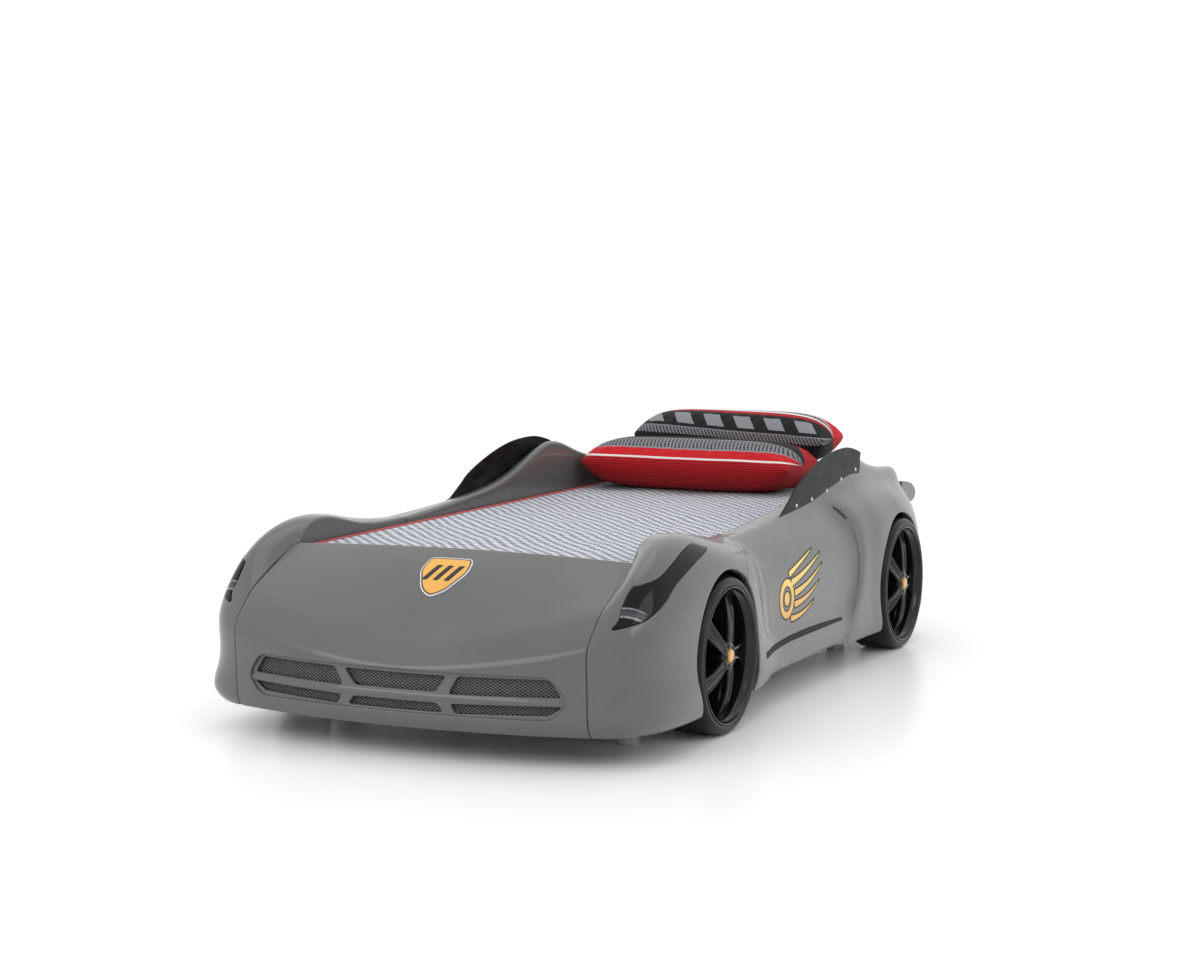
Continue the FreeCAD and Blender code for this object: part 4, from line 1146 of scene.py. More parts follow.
def mark_yellow():
    """Yellow that deepens to orange towards the sill."""
    def build(name):
        finish = Finish(name, (0.80, 0.50, 0.04), 0.3, Coat_Weight=0.4)
        height = finish.maths("MULTIPLY_ADD", finish.split()[2], 6.0, -1.3)
        finish.colour(finish.ramp(height, [(0.1, (0.72, 0.34, 0.02, 1)), (0.9, (0.86, 0.68, 0.10, 1))]))
        finish.rough(finish.ramp(finish.noise(50.0), [(0.3, 0.25), (0.7, 0.36)]))
        return finish.material
    return finish_of("mark_yellow", build)


BADGE_AT = (10, -990)
BADGE = [(-58, 54), (58, 54), (66, 8), (34, -50), (0, -70), (-34, -50), (-66, 8)]
BADGE_BARS = [[(k - 16, -22), (k - 2, -22), (k + 18, 26), (k + 4, 26)] for k in (-30, 0, 30)]
BADGE_ROLL = 0.3


def build_badge():
    """Amber plate with a dark border and three slanting bars, following the bonnet."""
    points = surface(front_net(), np.linspace(0.36, 0.66, 190), np.linspace(0.42, 0.76, 190))
    normals = grid_normals(points)
    x, y = points[..., 0] / MM - BADGE_AT[0], points[..., 1] / MM - BADGE_AT[1]
    away = outline_distance(rounded_outline(BADGE, 16), x, y)
    bars = np.min([outline_distance(np.array(bar, float), x, y) for bar in BADGE_BARS], axis=0)
    # Each layer: distance inside it, how proud it stands, depth of its flange, finish, node replaced.
    layers = (("badge_rim", -away, 3.0, 3.0, badge_white, ("bonnet_badge",)),
              ("badge_border", -3.0 - away, 3.4, 0.8, matt_black, ()),
              ("badge_face", -6.2 - away, 3.8, 0.8, amber_gloss, ()),
              ("badge_bars", -bars, 4.4, 0.8, matt_black, ()))
    for name, inside, proud, flange, material, replaced in layers:
        verts, norms, faces = cut_grid(points, normals, inside * MM)
        verts, faces = rolled_edge(verts + norms * proud * MM, norms, faces, BADGE_ROLL * MM, flange * MM, 2)
        finish_piece(new_mesh(name, verts, faces), material(), "bed", replaced, "badge_plate")


# ---------------------------------------------------------------- wheels
# Sections of the turned parts: (x, radius).
TYRE_SECTION = [(500, 161), (492, 163), (487, 169), (485.5, 177), (487, 186), (492, 192), (500, 194.6),
                (520, 195), (549, 195), (578, 195), (596, 194.6), (605, 192), (611, 187), (613.5, 180),
                (613, 174), (609.5, 170), (607.5, 167.5), (604, 166)]
RIM_SECTION = [(490, 150), (490, 161), (500, 161), (560, 161.5), (600, 165), (606, 167.5), (609, 170),
               (612.2, 170.4), (613.8, 169.4), (614, 167.5), (612.5, 166.0), (609, 165.3), (604, 163.5),
               (600, 160.5), (597, 157.5), (590, 155.5), (575, 154.5), (540, 152), (510, 150)]
SPOKES = 5
WHEEL_CLOCK = 18
SPOKE_R = (24, 157)
SPOKE_SWIRL = 0.13
NUT_CIRCLE_R = 25.5


def wheel_ring(profile, axle_y, sides=128):
    """Closed ring of an (x, r) profile about the axle."""
    verts, faces = turned_x(profile, sides, (0, axle_y, AXLE_Z))
    count = len(profile)
    k = np.arange(sides)
    last = (count - 1) * sides
    closing = np.stack([last + k, k, (k + 1) % sides, last + (k + 1) % sides], 1).tolist()
    return verts, faces + closing


# Section of a spoke: place across it as a share of its half width, height on its face, share of the valley.
SPOKE_ACROSS = [-1, -0.93, -0.72, -0.5, -0.28, 0, 0.28, 0.5, 0.72, 0.93, 1, 1.02, 0.9, 0.4, -0.4, -0.9, -1.02]
SPOKE_FACE = [-5, -1.5, 0, -1.2, -1, -1, -1, -1.2, 0, -1.5, -5, -14, -22, -24, -24, -22, -14]
SPOKE_VALLEY = [0, 0, 0, 0.55, 0.95, 1, 0.95, 0.55, 0, 0, 0, 0, 0, 0, 0, 0, 0]


def spoke_shape(axle_y, turn):
    """Spoke with two ridges and a valley between, widening and sinking towards the rim, slightly swirled."""
    t = np.linspace(0, 1, 26)[:, None]
    r = lerp(*SPOKE_R, t)
    half = 15 + 3 * t + 13 * t ** 2.2
    face = 611 - 7 * t - 26 * t ** 2.4
    valley = 2.0 + 7.5 * np.sin(pi * np.clip(t * 1.15 - 0.12, 0, 1)) ** 0.8
    x = face + np.array(SPOKE_FACE, float) - valley * np.array(SPOKE_VALLEY)
    across = np.array(SPOKE_ACROSS) * half
    angle = radians(turn) + SPOKE_SWIRL * t ** 1.4
    y = axle_y + r * np.sin(angle) + across * np.cos(angle)
    z = AXLE_Z + r * np.cos(angle) - across * np.sin(angle)
    points = np.stack([x, y, z], 2) * MM
    return points.reshape(-1, 3), grid_faces(*x.shape, wrap_v=True) + end_caps(*x.shape)


HUB_SECTION = [(536, 0), (536, 36), (560, 38), (600, 36), (608, 34), (611.4, 31), (612, 28), (612, 19.5),
               (610.6, 18.2), (610.6, 0)]
CAP_SECTION = [(610.7, 17.6), (613.6, 17.4), (615.0, 16.2), (615.9, 13), (616.6, 8), (616.9, 4), (617, 0)]
NUT_SECTION = [(604, 0), (604, 5.2), (613.0, 5.2), (614.4, 4.2), (614.4, 2.4), (612, 2.2), (612, 0)]


def build_wheels():
    """Tyre, rim with its spokes and hub, and cap of each wheel; the nuts of an axle are one piece."""
    for end, axle_y in (("front", FRONT_AXLE_Y), ("rear", REAR_AXLE_Y)):
        axle = (0, axle_y, AXLE_Z)
        spokes = [spoke_shape(axle_y, WHEEL_CLOCK + 360 / SPOKES * k) for k in range(SPOKES)]
        rim = joined([wheel_ring(RIM_SECTION, axle_y)] + spokes + [turned_x(HUB_SECTION, 64, axle)])
        parts = (("tyre", wheel_ring(TYRE_SECTION, axle_y), tyre_black, "tyre"),
                 ("rim", rim, gloss_black, "gloss_black"),
                 ("centre_cap", turned_x(CAP_SECTION, 48, axle), cap_finish, "amber_cap"))
        nuts = []
        for side, word in SIDES:
            for title, (verts, faces), material, slot in parts:
                if side < 0:
                    verts, faces = mirrored(verts, faces)
                piece = new_mesh("%s_shape_%s_%s" % (title, end, word), verts, faces)
                face_out(piece)
                finish_piece(piece, material(), "bed", ("%s_%s_%s" % (title, end, word),), slot)
            for k in range(SPOKES):
                a = radians(WHEEL_CLOCK + 360 / SPOKES * (k + 0.5))
                nut = (0, axle_y + NUT_CIRCLE_R * sin(a), AXLE_Z + NUT_CIRCLE_R * cos(a))
                verts, faces = turned_x(NUT_SECTION, 12, nut)
                nuts.append(mirrored(verts, faces) if side < 0 else (verts, faces))
        piece = new_mesh("wheel_nuts_" + end, *joined(nuts))
        face_out(piece)
        replaced = ("wheel_bolts",) if end == "front" else ()
        finish_piece(piece, gloss_black(), "bed", replaced, "screw_steel")


def cap_finish():
    """Amber disc with a thin dark ring, by distance from the axle it sits on."""
    def build(name):
        finish = Finish(name, (0.70, 0.36, 0.05), 0.25, Coat_Weight=0.5)
        parts = finish.split()
        rings = []
        for axle_y in (FRONT_AXLE_Y, REAR_AXLE_Y):
            dy = finish.maths("SUBTRACT", parts[1], axle_y * MM)
            dz = finish.maths("SUBTRACT", parts[2], AXLE_Z * MM)
            rings.append(finish.maths("SQRT", finish.maths("ADD", finish.maths("MULTIPLY", dy, dy),
                                                           finish.maths("MULTIPLY", dz, dz))))
        reach = finish.maths("MULTIPLY", finish.maths("MINIMUM", *rings), 50.0)
        finish.colour(finish.ramp(reach, [(0.0, (0.70, 0.36, 0.05, 1)), (0.74, (0.02, 0.015, 0.01, 1)),
                                          (0.80, (0.62, 0.30, 0.05, 1))], steps=True))
        return finish.material
    return finish_of("cap_amber", build)


# ---------------------------------------------------------------- bedding
# Half width, then front and back, bottom and top, metres.
MATTRESS = (0.450, -0.883, 1.017, 0.2686, 0.4406)
MATTRESS_CORNER = 0.05
RING_POINTS, CROWN_RINGS = 420, 40
PIPING_OUT, PIPING_SIDES = 0.0005, 10
THREADS = 5200.0


def check_cover():
    """White and grey woven check that runs on a slant, with a fine weave."""
    def build(name):
        finish = Finish(name, (0.6, 0.6, 0.62), 0.85, Sheen_Weight=0.2)
        parts = finish.split()
        wave = finish.maths("MULTIPLY", finish.noise(5.0, 2.0), 0.020)
        sizes = bpy.context.scene.bed_sizes
        a = finish.maths("DIVIDE", finish.maths("ADD", parts[0], wave), sizes.check_across)
        b = finish.maths("DIVIDE", finish.maths("ADD", parts[1], wave), sizes.check_along)
        one = finish.maths("LESS_THAN", finish.maths("FRACT", a), 0.5)
        two = finish.maths("LESS_THAN", finish.maths("FRACT", b), 0.5)
        c = finish.maths("DIVIDE", finish.maths("ADD", parts[2], 0.010), sizes.check_along)
        three = finish.maths("LESS_THAN", finish.maths("FRACT", c), 0.5)
        check = finish.maths("ABSOLUTE", finish.maths("SUBTRACT", one, two))
        check = finish.maths("ABSOLUTE", finish.maths("SUBTRACT", check, three))
        grey = finish.ramp(finish.noise(30.0), [(0.3, (0.075, 0.085, 0.11, 1)), (0.7, (0.12, 0.13, 0.16, 1))])
        finish.colour(finish.mix(check, (0.56, 0.58, 0.64, 1), grey))
        weave = finish.maths("ADD", finish.maths("SINE", finish.maths("MULTIPLY", parts[0], THREADS)),
                             finish.maths("SINE", finish.maths("MULTIPLY", parts[1], THREADS)))
        finish.bump(weave, 0.25, 0.0003)
        return finish.material
    return finish_of("check_cover", build)


def red_piping():
    def build(name):
        finish = Finish(name, (0.42, 0.03, 0.035), 0.75, Sheen_Weight=0.2)
        finish.bump(finish.noise(900.0), 0.3, 0.0004)
        return finish.material
    return finish_of("red_piping", build)


def rounded_rectangle(half_x, y0, y1, radius, count=44):
    """Points of a rounded rectangle, evenly spread by superellipse-like corner arcs."""
    a = np.linspace(0, pi / 2, 9)
    ring = []
    for sx, sy, start in ((1, 1, 0), (-1, 1, pi / 2), (-1, -1, pi), (1, -1, 3 * pi / 2)):
        cx, cy = sx * (half_x - radius), (y1 - radius) if sy > 0 else (y0 + radius)
        ring.append(np.stack([cx + radius * np.cos(a + start), cy + radius * np.sin(a + start)], 1))
    ring = np.concatenate(ring)
    steps = np.linalg.norm(np.roll(ring, -1, 0) - ring, axis=1)
    run = np.concatenate([[0], np.cumsum(steps)])
    whole = np.concatenate([ring, ring[:1]])
    at = np.linspace(0, run[-1], count, endpoint=False)
    return np.stack([np.interp(at, run, whole[:, k]) for k in (0, 1)], 1)


def crowned(verts, faces, start, z, up):
    """Fills the ring of points that begins at start with shrinking rings and a middle point."""
    middle = np.array([0, (MATTRESS[1] + MATTRESS[2]) / 2])
    outer = verts[start:start + RING_POINTS]
    rings = []
    for k in range(1, CROWN_RINGS):
        flat = middle + (outer[:, :2] - middle) * (1 - k / CROWN_RINGS)
        rings.append(np.column_stack([flat, np.full(RING_POINTS, z)]))
    base = len(verts)
    verts = np.concatenate([verts] + rings + [np.array([[*middle, z]])])
    ids = [start + np.arange(RING_POINTS)]
    ids += [base + k * RING_POINTS + np.arange(RING_POINTS) for k in range(CROWN_RINGS - 1)]
    for a, b in zip(ids, ids[1:]):
        quads = np.stack([a, np.roll(a, -1), np.roll(b, -1), b], 1)
        faces += (quads if up else quads[:, ::-1]).tolist()
    tips = np.stack([ids[-1], np.roll(ids[-1], -1), np.full(RING_POINTS, len(verts) - 1)], 1)
    faces += (tips if up else tips[:, ::-1]).tolist()
    return verts, faces


def build_mattress():
    """Padded block: rounded sides as rings, top and bottom with a soft crown, piping round both edges."""
    half, y0, y1, z0, z1 = MATTRESS
    levels = [(0.030, z0), (0.008, z0 + 0.002), (0.002, z0 + 0.010), (0.0, z0 + 0.030), (0.001, z0 + 0.075),
              (0.0, z1 - 0.030), (0.002, z1 - 0.010), (0.006, z1 - 0.004), (0.014, z1 - 0.0015), (0.03, z1)]
    rings = []
    for inset, z in levels:
        corner = max(MATTRESS_CORNER - inset, 0.015)
        ring = rounded_rectangle(half - inset, y0 + inset, y1 - inset, corner, RING_POINTS)
        rings.append(np.column_stack([ring, np.full(RING_POINTS, z)]))
    faces = grid_faces(len(rings), RING_POINTS, wrap_v=True)
    verts, faces = crowned(np.concatenate(rings), faces, (len(rings) - 1) * RING_POINTS, z1, True)
    verts, faces = crowned(verts, faces, 0, z0, False)
    top = verts[:, 2] > z1 - 0.02
    x, y = verts[:, 0], verts[:, 1]
    edge = np.clip(np.minimum(half - np.abs(x), np.minimum(y - y0, y1 - y)) / 0.10, 0, 1)
    swell = 0.0022 * np.sin(9 * x + 3 * y) * np.sin(7 * y - 2 * x) + 0.0015 * np.sin(23 * x) * np.cos(17 * y)
    verts[:, 2] += np.where(top, edge * (swell - 0.0035), 0)
    pad = new_mesh("mattress_cover", verts, faces)
    face_out(pad)
    finish_piece(pad, check_cover(), "mattress", ("mattress",), "mattress_cover")
    out = PIPING_OUT
    path = rounded_rectangle(half + out, y0 - out, y1 + out, MATTRESS_CORNER, RING_POINTS)
    for word, z in (("top", z1 - 0.004), ("bottom", z0 + 0.008)):
        piping = tube("mattress_piping_" + word, np.column_stack([path, np.full(len(path), z)]),
                      bpy.context.scene.bed_sizes.piping, PIPING_SIDES)
        finish_piece(piping, red_piping(), "mattress", (), "mattress_cover")


def tube(name, path, radius, sides):
    """Closed tube along a closed path: a circle set square to the path at every point."""
    along = np.roll(path, -1, 0) - np.roll(path, 1, 0)
    along /= np.linalg.norm(along, axis=1, keepdims=True)
    out = np.cross(along, (0, 0, 1.0))
    out /= np.linalg.norm(out, axis=1, keepdims=True)
    up = np.cross(out, along)
    a = np.arange(sides)[None, :, None] * 2 * pi / sides
    points = path[:, None] + radius * (np.cos(a) * out[:, None] + np.sin(a) * up[:, None])
    piece = new_mesh(name, points.reshape(-1, 3), grid_faces(len(path), sides, True, True))
    face_out(piece)
    return piece


PUFF_CAP, PUFF_PRESSURE, PUFF_STEPS, REMESH = 0.006, 4, 20, 0.006
PILLOWS = {
    "front": dict(centre=(-0.090, 0.854, 0.523), length=0.700, depth=0.325, rise=0.071, sag=0.081),
    "rear": dict(centre=(-0.060, 1.105, 0.590), length=0.650, depth=0.225, rise=0.076, sag=0.084),
}


def pillow_points(centre, length, depth, rise, sag, across=110, around=80):
    """Plump section carried along the pillow, its thickness held nearly to the ends."""
    t = np.sin(np.linspace(-pi / 2, pi / 2, across))[:, None]
    a = (np.arange(around) * 2 * pi / around)[None, :]
    fullness = np.sqrt(np.clip(1 - np.abs(t) ** 4.5, 0, 1)) * 0.86 + 0.14
    half = (0.93 + 0.07 * t * t) * depth / 2 * (1 - 0.10 * np.abs(t) ** 12)
    crown = np.abs(np.sin(a)) ** 0.9 * fullness
    y = half * np.cos(a)
    z = np.where(np.sin(a) >= 0, crown * rise, -crown * sag)
    return np.stack([t * length / 2 + centre[0] + 0 * a, y + centre[1], z + centre[2]], 2)


def build_pillow(name):
    """Pillow in its printed cover, creased and then blown up as cloth."""
    values = PILLOWS[name]
    points = pillow_points(**values)
    size = points.shape[:2]
    faces = grid_faces(*size, wrap_v=True) + end_caps(*size)
    pad = new_mesh("pillow_%s_cover" % name, points.reshape(-1, 3), faces)
    face_out(pad)
    crease(pad, values)
    puff(pad, PUFF_CAP)
    finish_piece(pad, pillow_print(name), "pillow_" + name, ("pillow_" + name,), "pillow_cover")


def crease(pad, values):
    """Gathers that run in from the seam, deepest at the ends and fading over the crown."""
    mesh = pad.data
    place = np.empty(len(mesh.vertices) * 3)
    mesh.vertices.foreach_get("co", place)
    place = place.reshape(-1, 3)
    centre = np.array(values["centre"])
    x = (place[:, 0] - centre[0]) / (values["length"] / 2)
    y = (place[:, 1] - centre[1]) / (values["depth"] / 2)
    near_end = np.clip((np.abs(x) - 0.45) / 0.5, 0, 1)
    near_seam = np.clip((np.abs(y) - 0.3) / 0.6, 0, 1)
    folds = (np.sin(34 * y + 5 * x) * near_end + 0.7 * np.sin(41 * x + 3 * np.sin(5 * y)) * near_seam)
    place[:, 2] += 0.0035 * folds * (1 - np.abs(x) ** 6) * (1 - np.clip(np.abs(y), 0, 1) ** 8)
    mesh.vertices.foreach_set("co", place.ravel())
    mesh.update()


def puff(pad, cap):
    """Cloth blown up a little from inside: remeshed, pressed outwards, moved no further than the cap."""
    bpy.context.view_layer.objects.active = pad
    pad.data.remesh_voxel_size = REMESH
    bpy.ops.object.voxel_remesh()
    count = len(pad.data.vertices)
    start = np.empty(count * 3)
    pad.data.vertices.foreach_get("co", start)
    cloth = pad.modifiers.new("cloth", "CLOTH")
    cloth.settings.use_pressure = True
    cloth.settings.uniform_pressure_force = PUFF_PRESSURE
    cloth.settings.effector_weights.gravity = 0
    cloth.settings.quality = 5
    for step in range(1, PUFF_STEPS + 1):
        bpy.context.scene.frame_set(step)
    shaped = pad.evaluated_get(bpy.context.evaluated_depsgraph_get())
    end = np.empty(count * 3)
    shaped.data.vertices.foreach_get("co", end)
    pad.modifiers.remove(cloth)
    bpy.context.scene.frame_set(1)
    move = (end - start).reshape(-1, 3)
    size = np.linalg.norm(move, axis=1, keepdims=True)
    move *= np.minimum(1, cap / np.maximum(size, 1e-9))
    pad.data.vertices.foreach_set("co", start + move.ravel())
    pad.data.update()
    pad.data.shade_smooth()
    soften = pad.modifiers.new("soft", "SUBSURF")
    soften.levels = soften.render_levels = 1


def pillow_print(name):
    """Woven print in bands along the pillow, by the turn about its middle: front seam 0, back seam 1."""
    def build(title):
        finish = Finish(title, (0.3, 0.02, 0.03), 0.75, Sheen_Weight=0.04, Specular_IOR_Level=0.2)
        parts = finish.split()
        values = PILLOWS[name]
        high = finish.maths("MULTIPLY", finish.maths("SUBTRACT", parts[2], values["centre"][2]),
                            values["depth"] / 2 / values["rise"])
        back = finish.maths("SUBTRACT", values["centre"][1], parts[1])
        turn = finish.maths("DIVIDE", finish.maths("ARCTAN2", high, back), pi)
        wave = finish.maths("MULTIPLY_ADD", finish.noise(6.0, 2.0), 0.03, -0.015)
        skew = finish.maths("MULTIPLY", parts[0], BAND_SKEW[name])
        t = finish.maths("ADD", finish.maths("ADD", turn, wave), skew)
        ribs = finish.maths("FRACT", finish.maths("MULTIPLY", t, 26.0))
        ribbed = finish.ramp(ribs, [(0.0, (0.44, 0.006, 0.012, 1)), (0.35, (0.52, 0.007, 0.013, 1)),
                                    (0.70, (0.16, 0.003, 0.006, 1))], steps=True)
        across = finish.maths("DIVIDE", parts[0], 0.012)
        slant = finish.maths("FRACT", finish.maths("MULTIPLY_ADD", t, 10.0, across))
        rows = finish.maths("FRACT", finish.maths("MULTIPLY", t, 38.0))
        dots = finish.maths("MULTIPLY", finish.maths("LESS_THAN", slant, 0.5),
                            finish.maths("GREATER_THAN", rows, 0.2))
        hatch = finish.mix(dots, (0.22, 0.23, 0.25, 1), (0.008, 0.008, 0.010, 1))
        across = finish.maths("DIVIDE", parts[0], 0.105)
        bar = finish.maths("FRACT", finish.maths("MULTIPLY_ADD", t, 1.6, across))
        bars = finish.mix(finish.maths("LESS_THAN", bar, 0.55), (0.010, 0.010, 0.012, 1),
                          (0.25, 0.26, 0.28, 1))
        fills = {"ribs": ribbed, "hatch": hatch, "bars": bars, "white": (0.80, 0.79, 0.78, 1),
                 "red": (0.58, 0.008, 0.014, 1), "black": (0.010, 0.010, 0.012, 1),
                 "grey": (0.25, 0.26, 0.27, 1)}
        bands = PILLOW_BANDS[name]
        colour = fills[bands[0][1]]
        for start, kind in bands[1:]:
            colour = finish.mix(finish.maths("GREATER_THAN", t, start), colour, fills[kind])
        finish.colour(colour)
        weave = finish.maths("ADD", finish.maths("MULTIPLY", ribs, 1.5),
                             finish.maths("SINE", finish.maths("MULTIPLY", parts[0], 4800.0)))
        finish.bump(weave, 0.5, 0.0010)
        return finish.material
    return finish_of("pillow_print_" + name, build)


# Bands of each pillow's print: where each starts, and how much they slant along the pillow.
BAND_SKEW = {"front": 0.0, "rear": 0.22}
PILLOW_BANDS = {
    "front": [(-1.0, "ribs"), (0.100, "white"), (0.128, "red"), (0.245, "grey"), (0.262, "hatch"),
              (0.42, "grey"), (0.44, "black"), (0.62, "ribs")],
    "rear": [(-1.0, "ribs"), (-0.55, "black"), (-0.02, "hatch"), (0.09, "grey"), (0.10, "black"),
             (0.15, "bars"), (0.32, "black"), (0.37, "ribs"), (0.44, "white"), (0.48, "grey"),
             (0.50, "hatch"), (0.57, "white"), (0.585, "red")],
}


# ---------------------------------------------------------------- timber base and other carried-over nodes
BOARD_LIGHT, BOARD_DARK = (0.62, 0.60, 0.56), (0.52, 0.50, 0.46)
# Finish of each kind of node that is shown as it is, by the start of its name.
BASE_FINISHES = {
    "slat_": lambda: grained_wood("slat_birch", (0.55, 0.38, 0.22), (0.42, 0.27, 0.14), "X"),
    "side_rail": lambda: grained_wood("rail_board", BOARD_LIGHT, BOARD_DARK, "Y"),
    "centre_beam": lambda: grained_wood("rail_board", BOARD_LIGHT, BOARD_DARK, "Y"),
    "foot_board": lambda: grained_wood("end_board", BOARD_LIGHT, BOARD_DARK, "X"),
    "head_board": lambda: grained_wood("end_board", BOARD_LIGHT, BOARD_DARK, "X"),
    "wheel_bracket": matt_black, "corner_brackets": bright_steel, "panel_screws": bright_steel,
    "feet": foot_grey,
}


def dress_frame():
    """Finishes for the nodes that are shown as they are."""
    for name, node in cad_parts.items():
        for start, material in BASE_FINISHES.items():
            if name.startswith(start):
                node.data.materials.clear()
                node.data.materials.append(material())


# ---------------------------------------------------------------- the stage
CAMERA_AT = (2.7099, -5.8811, 1.1774)
CAMERA_TURN = (radians(84.43), 0, radians(25.02))
CAMERA_LENS, CAMERA_SENSOR = 70.09, 36
FLOOR_HALF = 30
# Area lamps: name, place, width and height; all look at AIM_Z over the origin.
LAMPS = (("key", (-1.6, -4.6, 2.6), 3.2, 2.0), ("side", (4.4, -0.4, 2.6), 2.6, 1.4),
         ("top", (0.3, 0.6, 4.6), 3.0, 3.0))
AIM_Z = 0.3


def build_stage():
    """Camera, white world, lamps and floor."""
    scene = bpy.context.scene
    scene.view_settings.view_transform = "Standard"
    camera = bpy.data.objects.new("camera", bpy.data.cameras.new("camera"))
    scene.collection.objects.link(camera)
    camera.location, camera.rotation_euler = CAMERA_AT, CAMERA_TURN
    camera.data.lens, camera.data.sensor_width = CAMERA_LENS, CAMERA_SENSOR
    scene.camera = camera
    world = bpy.data.worlds.new("studio")
    scene.world = world
    world.use_nodes = True
    background = world.node_tree.nodes["Background"]
    background.inputs["Color"].default_value = (1, 1, 1, 1)
    background.inputs["Strength"].default_value = scene.bed_light.fill
    for values in LAMPS:
        lamp(*values, getattr(scene.bed_light, values[0]))
    corners = np.array([(-1, -1, 0), (1, -1, 0), (1, 1, 0), (-1, 1, 0.0)]) * FLOOR_HALF
    floor = new_mesh("floor", corners, [[0, 1, 2, 3]], False)
    floor.data.materials.append(floor_white())


def lamp(name, place, width, height, power):
    """Rectangular area lamp."""
    light = bpy.data.lights.new(name, "AREA")
    light.shape = "RECTANGLE"
    light.size, light.size_y, light.energy = width, height, power
    made = bpy.data.objects.new(name, light)
    made.location = place
    made.rotation_euler = (Vector((0, 0, AIM_Z)) - Vector(place)).to_track_quat("-Z", "Y").to_euler()
    bpy.context.scene.collection.objects.link(made)


def floor_white():
    finish = Finish("floor_white", (0.95, 0.95, 0.95), 0.3, Specular_IOR_Level=0.4)
    finish.colour(finish.ramp(finish.noise(0.6), [(0.3, 0.95), (0.7, 0.97)]))
    return finish.material


# ---------------------------------------------------------------- settings, operators and panel
class BedColours(bpy.types.PropertyGroup):
    """Colours of the bed."""

    paint: bpy.props.FloatVectorProperty(name="Paint", description="Colour of the glossy body mouldings",
                                         size=3, subtype="COLOR", default=(0.096, 0.098, 0.097), min=0, max=1)
    rim: bpy.props.FloatVectorProperty(name="Rims", description="Colour of the wheel rims and nuts",
                                       size=3, subtype="COLOR", default=(0.006, 0.006, 0.007), min=0, max=1)
    amber: bpy.props.FloatVectorProperty(name="Badge", description="Colour of the plate on the bonnet",
                                         size=3, subtype="COLOR", default=(0.72, 0.36, 0.05), min=0, max=1)


class BedSizes(bpy.types.PropertyGroup):
    """Sizes that can change without touching how the pieces fit."""

    wire_pitch: bpy.props.FloatProperty(name="Wire pitch", description="Distance between the grille's wires",
                                        default=0.012, min=0.004, max=0.05, unit="LENGTH")
    check_across: bpy.props.FloatProperty(name="Check across", description="Repeat of the check in width",
                                          default=0.036, min=0.01, max=0.2, unit="LENGTH")
    check_along: bpy.props.FloatProperty(name="Check along", description="Repeat of the check in length",
                                         default=0.040, min=0.01, max=0.2, unit="LENGTH")
    piping: bpy.props.FloatProperty(name="Piping", description="Radius of the mattress piping",
                                    default=0.0042, min=0.001, max=0.01, unit="LENGTH")


class BedLight(bpy.types.PropertyGroup):
    """Light of the studio."""

    fill: bpy.props.FloatProperty(name="Fill", description="Strength of the even light all round",
                                  default=1.05)
    key: bpy.props.FloatProperty(name="Key", description="Power of the lamp in front of the car",
                                 default=46.0, unit="POWER")
    side: bpy.props.FloatProperty(name="Side", description="Power of the lamp beside the wheels",
                                  default=26.0, unit="POWER")
    top: bpy.props.FloatProperty(name="Top", description="Power of the lamp over the bed",
                                 default=24.0, unit="POWER")


class CARBED_OT_front(bpy.types.Operator):
    """Bonnet and bumper moulding with its grille frame"""

    bl_idname = "carbed.front"
    bl_label = "Front moulding"

    def execute(self, context):
        build_front()
        return {"FINISHED"}


class CARBED_OT_grille(bpy.types.Operator):
    """Wire mesh behind the grille openings"""

    bl_idname = "carbed.grille"
    bl_label = "Grille mesh"

    def execute(self, context):
        build_grille_mesh()
        return {"FINISHED"}


class CARBED_OT_badge(bpy.types.Operator):
    """Plain amber plate on the bonnet"""

    bl_idname = "carbed.badge"
    bl_label = "Bonnet plate"

    def execute(self, context):
        build_badge()
        return {"FINISHED"}


class CARBED_OT_wings(bpy.types.Operator):
    """Both wings, cut for their lamps and wheels"""

    bl_idname = "carbed.wings"
    bl_label = "Wings"

    def execute(self, context):
        build_wings()
        return {"FINISHED"}


class CARBED_OT_lamps(bpy.types.Operator):
    """Smoked lenses in the wings"""

    bl_idname = "carbed.lamps"
    bl_label = "Headlamps"

    def execute(self, context):
        build_lamps()
        return {"FINISHED"}


class CARBED_OT_sides(bpy.types.Operator):
    """Both side mouldings with door, haunch and tail corner"""

    bl_idname = "carbed.sides"
    bl_label = "Sides"

    def execute(self, context):
        build_sides()
        return {"FINISHED"}


class CARBED_OT_trim(bpy.types.Operator):
    """Sill lines, shoulder slots and the mark on the doors"""

    bl_idname = "carbed.trim"
    bl_label = "Side trim"

    def execute(self, context):
        build_side_trim()
        build_door_mark()
        return {"FINISHED"}


class CARBED_OT_windows(bpy.types.Operator):
    """Smoked side windows and their screws"""

    bl_idname = "carbed.windows"
    bl_label = "Windows"

    def execute(self, context):
        build_windows()
        return {"FINISHED"}


class CARBED_OT_tail(bpy.types.Operator):
    """Tail moulding and its spoiler"""

    bl_idname = "carbed.tail"
    bl_label = "Tail"

    def execute(self, context):
        build_tail()
        build_tail_wing()
        return {"FINISHED"}


class CARBED_OT_wheels(bpy.types.Operator):
    """Four dummy wheels with tyres, spokes, caps and nuts"""

    bl_idname = "carbed.wheels"
    bl_label = "Wheels"

    def execute(self, context):
        build_wheels()
        return {"FINISHED"}


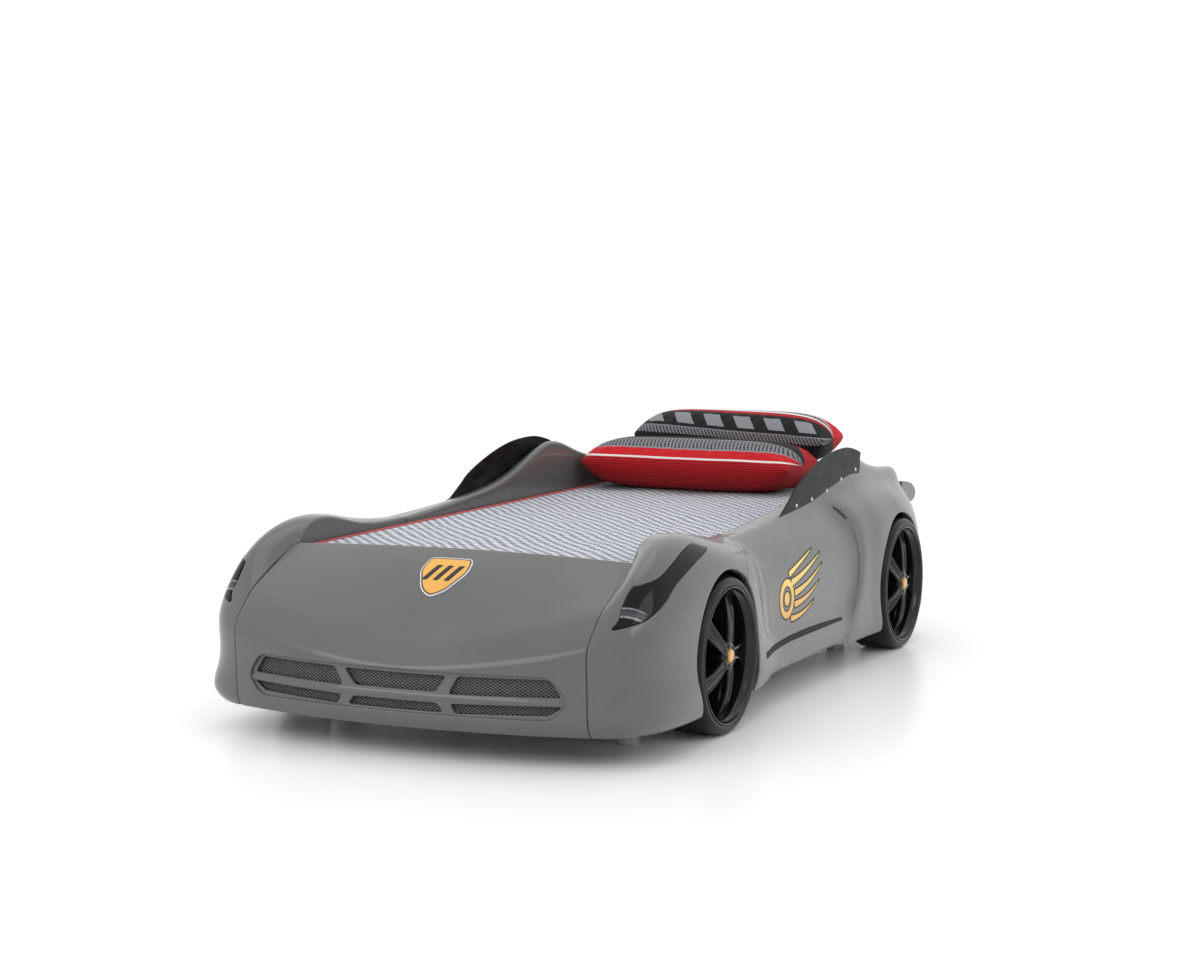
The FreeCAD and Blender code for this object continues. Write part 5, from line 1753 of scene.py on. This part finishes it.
class CARBED_OT_bedding(bpy.types.Operator):
    """Mattress with its piping, and both pillows"""

    bl_idname = "carbed.bedding"
    bl_label = "Bedding"

    def execute(self, context):
        build_mattress()
        build_pillow("front")
        build_pillow("rear")
        return {"FINISHED"}


class CARBED_OT_base(bpy.types.Operator):
    """Finishes of the timber base, feet and brackets"""

    bl_idname = "carbed.base"
    bl_label = "Bed base"

    def execute(self, context):
        dress_frame()
        return {"FINISHED"}


class CARBED_OT_stage(bpy.types.Operator):
    """Floor, lamps and camera"""

    bl_idname = "carbed.stage"
    bl_label = "Studio"

    def execute(self, context):
        build_stage()
        return {"FINISHED"}


# The order in which the panel lists the operators and main() calls them.
STEPS = ("stage", "base", "front", "grille", "badge", "wings", "lamps", "sides", "trim", "windows", "tail",
         "wheels", "bedding")


class CARBED_PT_panel(bpy.types.Panel):
    """Lists the pieces of the bed"""

    bl_idname = "CARBED_PT_panel"
    bl_label = "Car bed"
    bl_space_type = "VIEW_3D"
    bl_region_type = "UI"
    bl_category = "Car bed"

    def draw(self, context):
        for group in (context.scene.bed_colours, context.scene.bed_sizes, context.scene.bed_light):
            for name in type(group).__annotations__:
                self.layout.prop(group, name)
        for step in STEPS:
            self.layout.operator("carbed." + step)


CLASSES = (BedColours, BedSizes, BedLight, CARBED_OT_front, CARBED_OT_grille, CARBED_OT_badge,
           CARBED_OT_wings, CARBED_OT_lamps, CARBED_OT_sides, CARBED_OT_trim, CARBED_OT_windows,
           CARBED_OT_tail, CARBED_OT_wheels, CARBED_OT_bedding, CARBED_OT_base, CARBED_OT_stage,
           CARBED_PT_panel)


def register():
    for item in CLASSES:
        bpy.utils.register_class(item)
    bpy.types.Scene.bed_colours = bpy.props.PointerProperty(type=BedColours)
    bpy.types.Scene.bed_sizes = bpy.props.PointerProperty(type=BedSizes)
    bpy.types.Scene.bed_light = bpy.props.PointerProperty(type=BedLight)


def unregister():
    del bpy.types.Scene.bed_light
    del bpy.types.Scene.bed_sizes
    del bpy.types.Scene.bed_colours
    for item in reversed(CLASSES):
        bpy.utils.unregister_class(item)


def main():
    register()
    for step in STEPS:
        getattr(bpy.ops.carbed, step)()


if __name__ == "__main__":
    main()
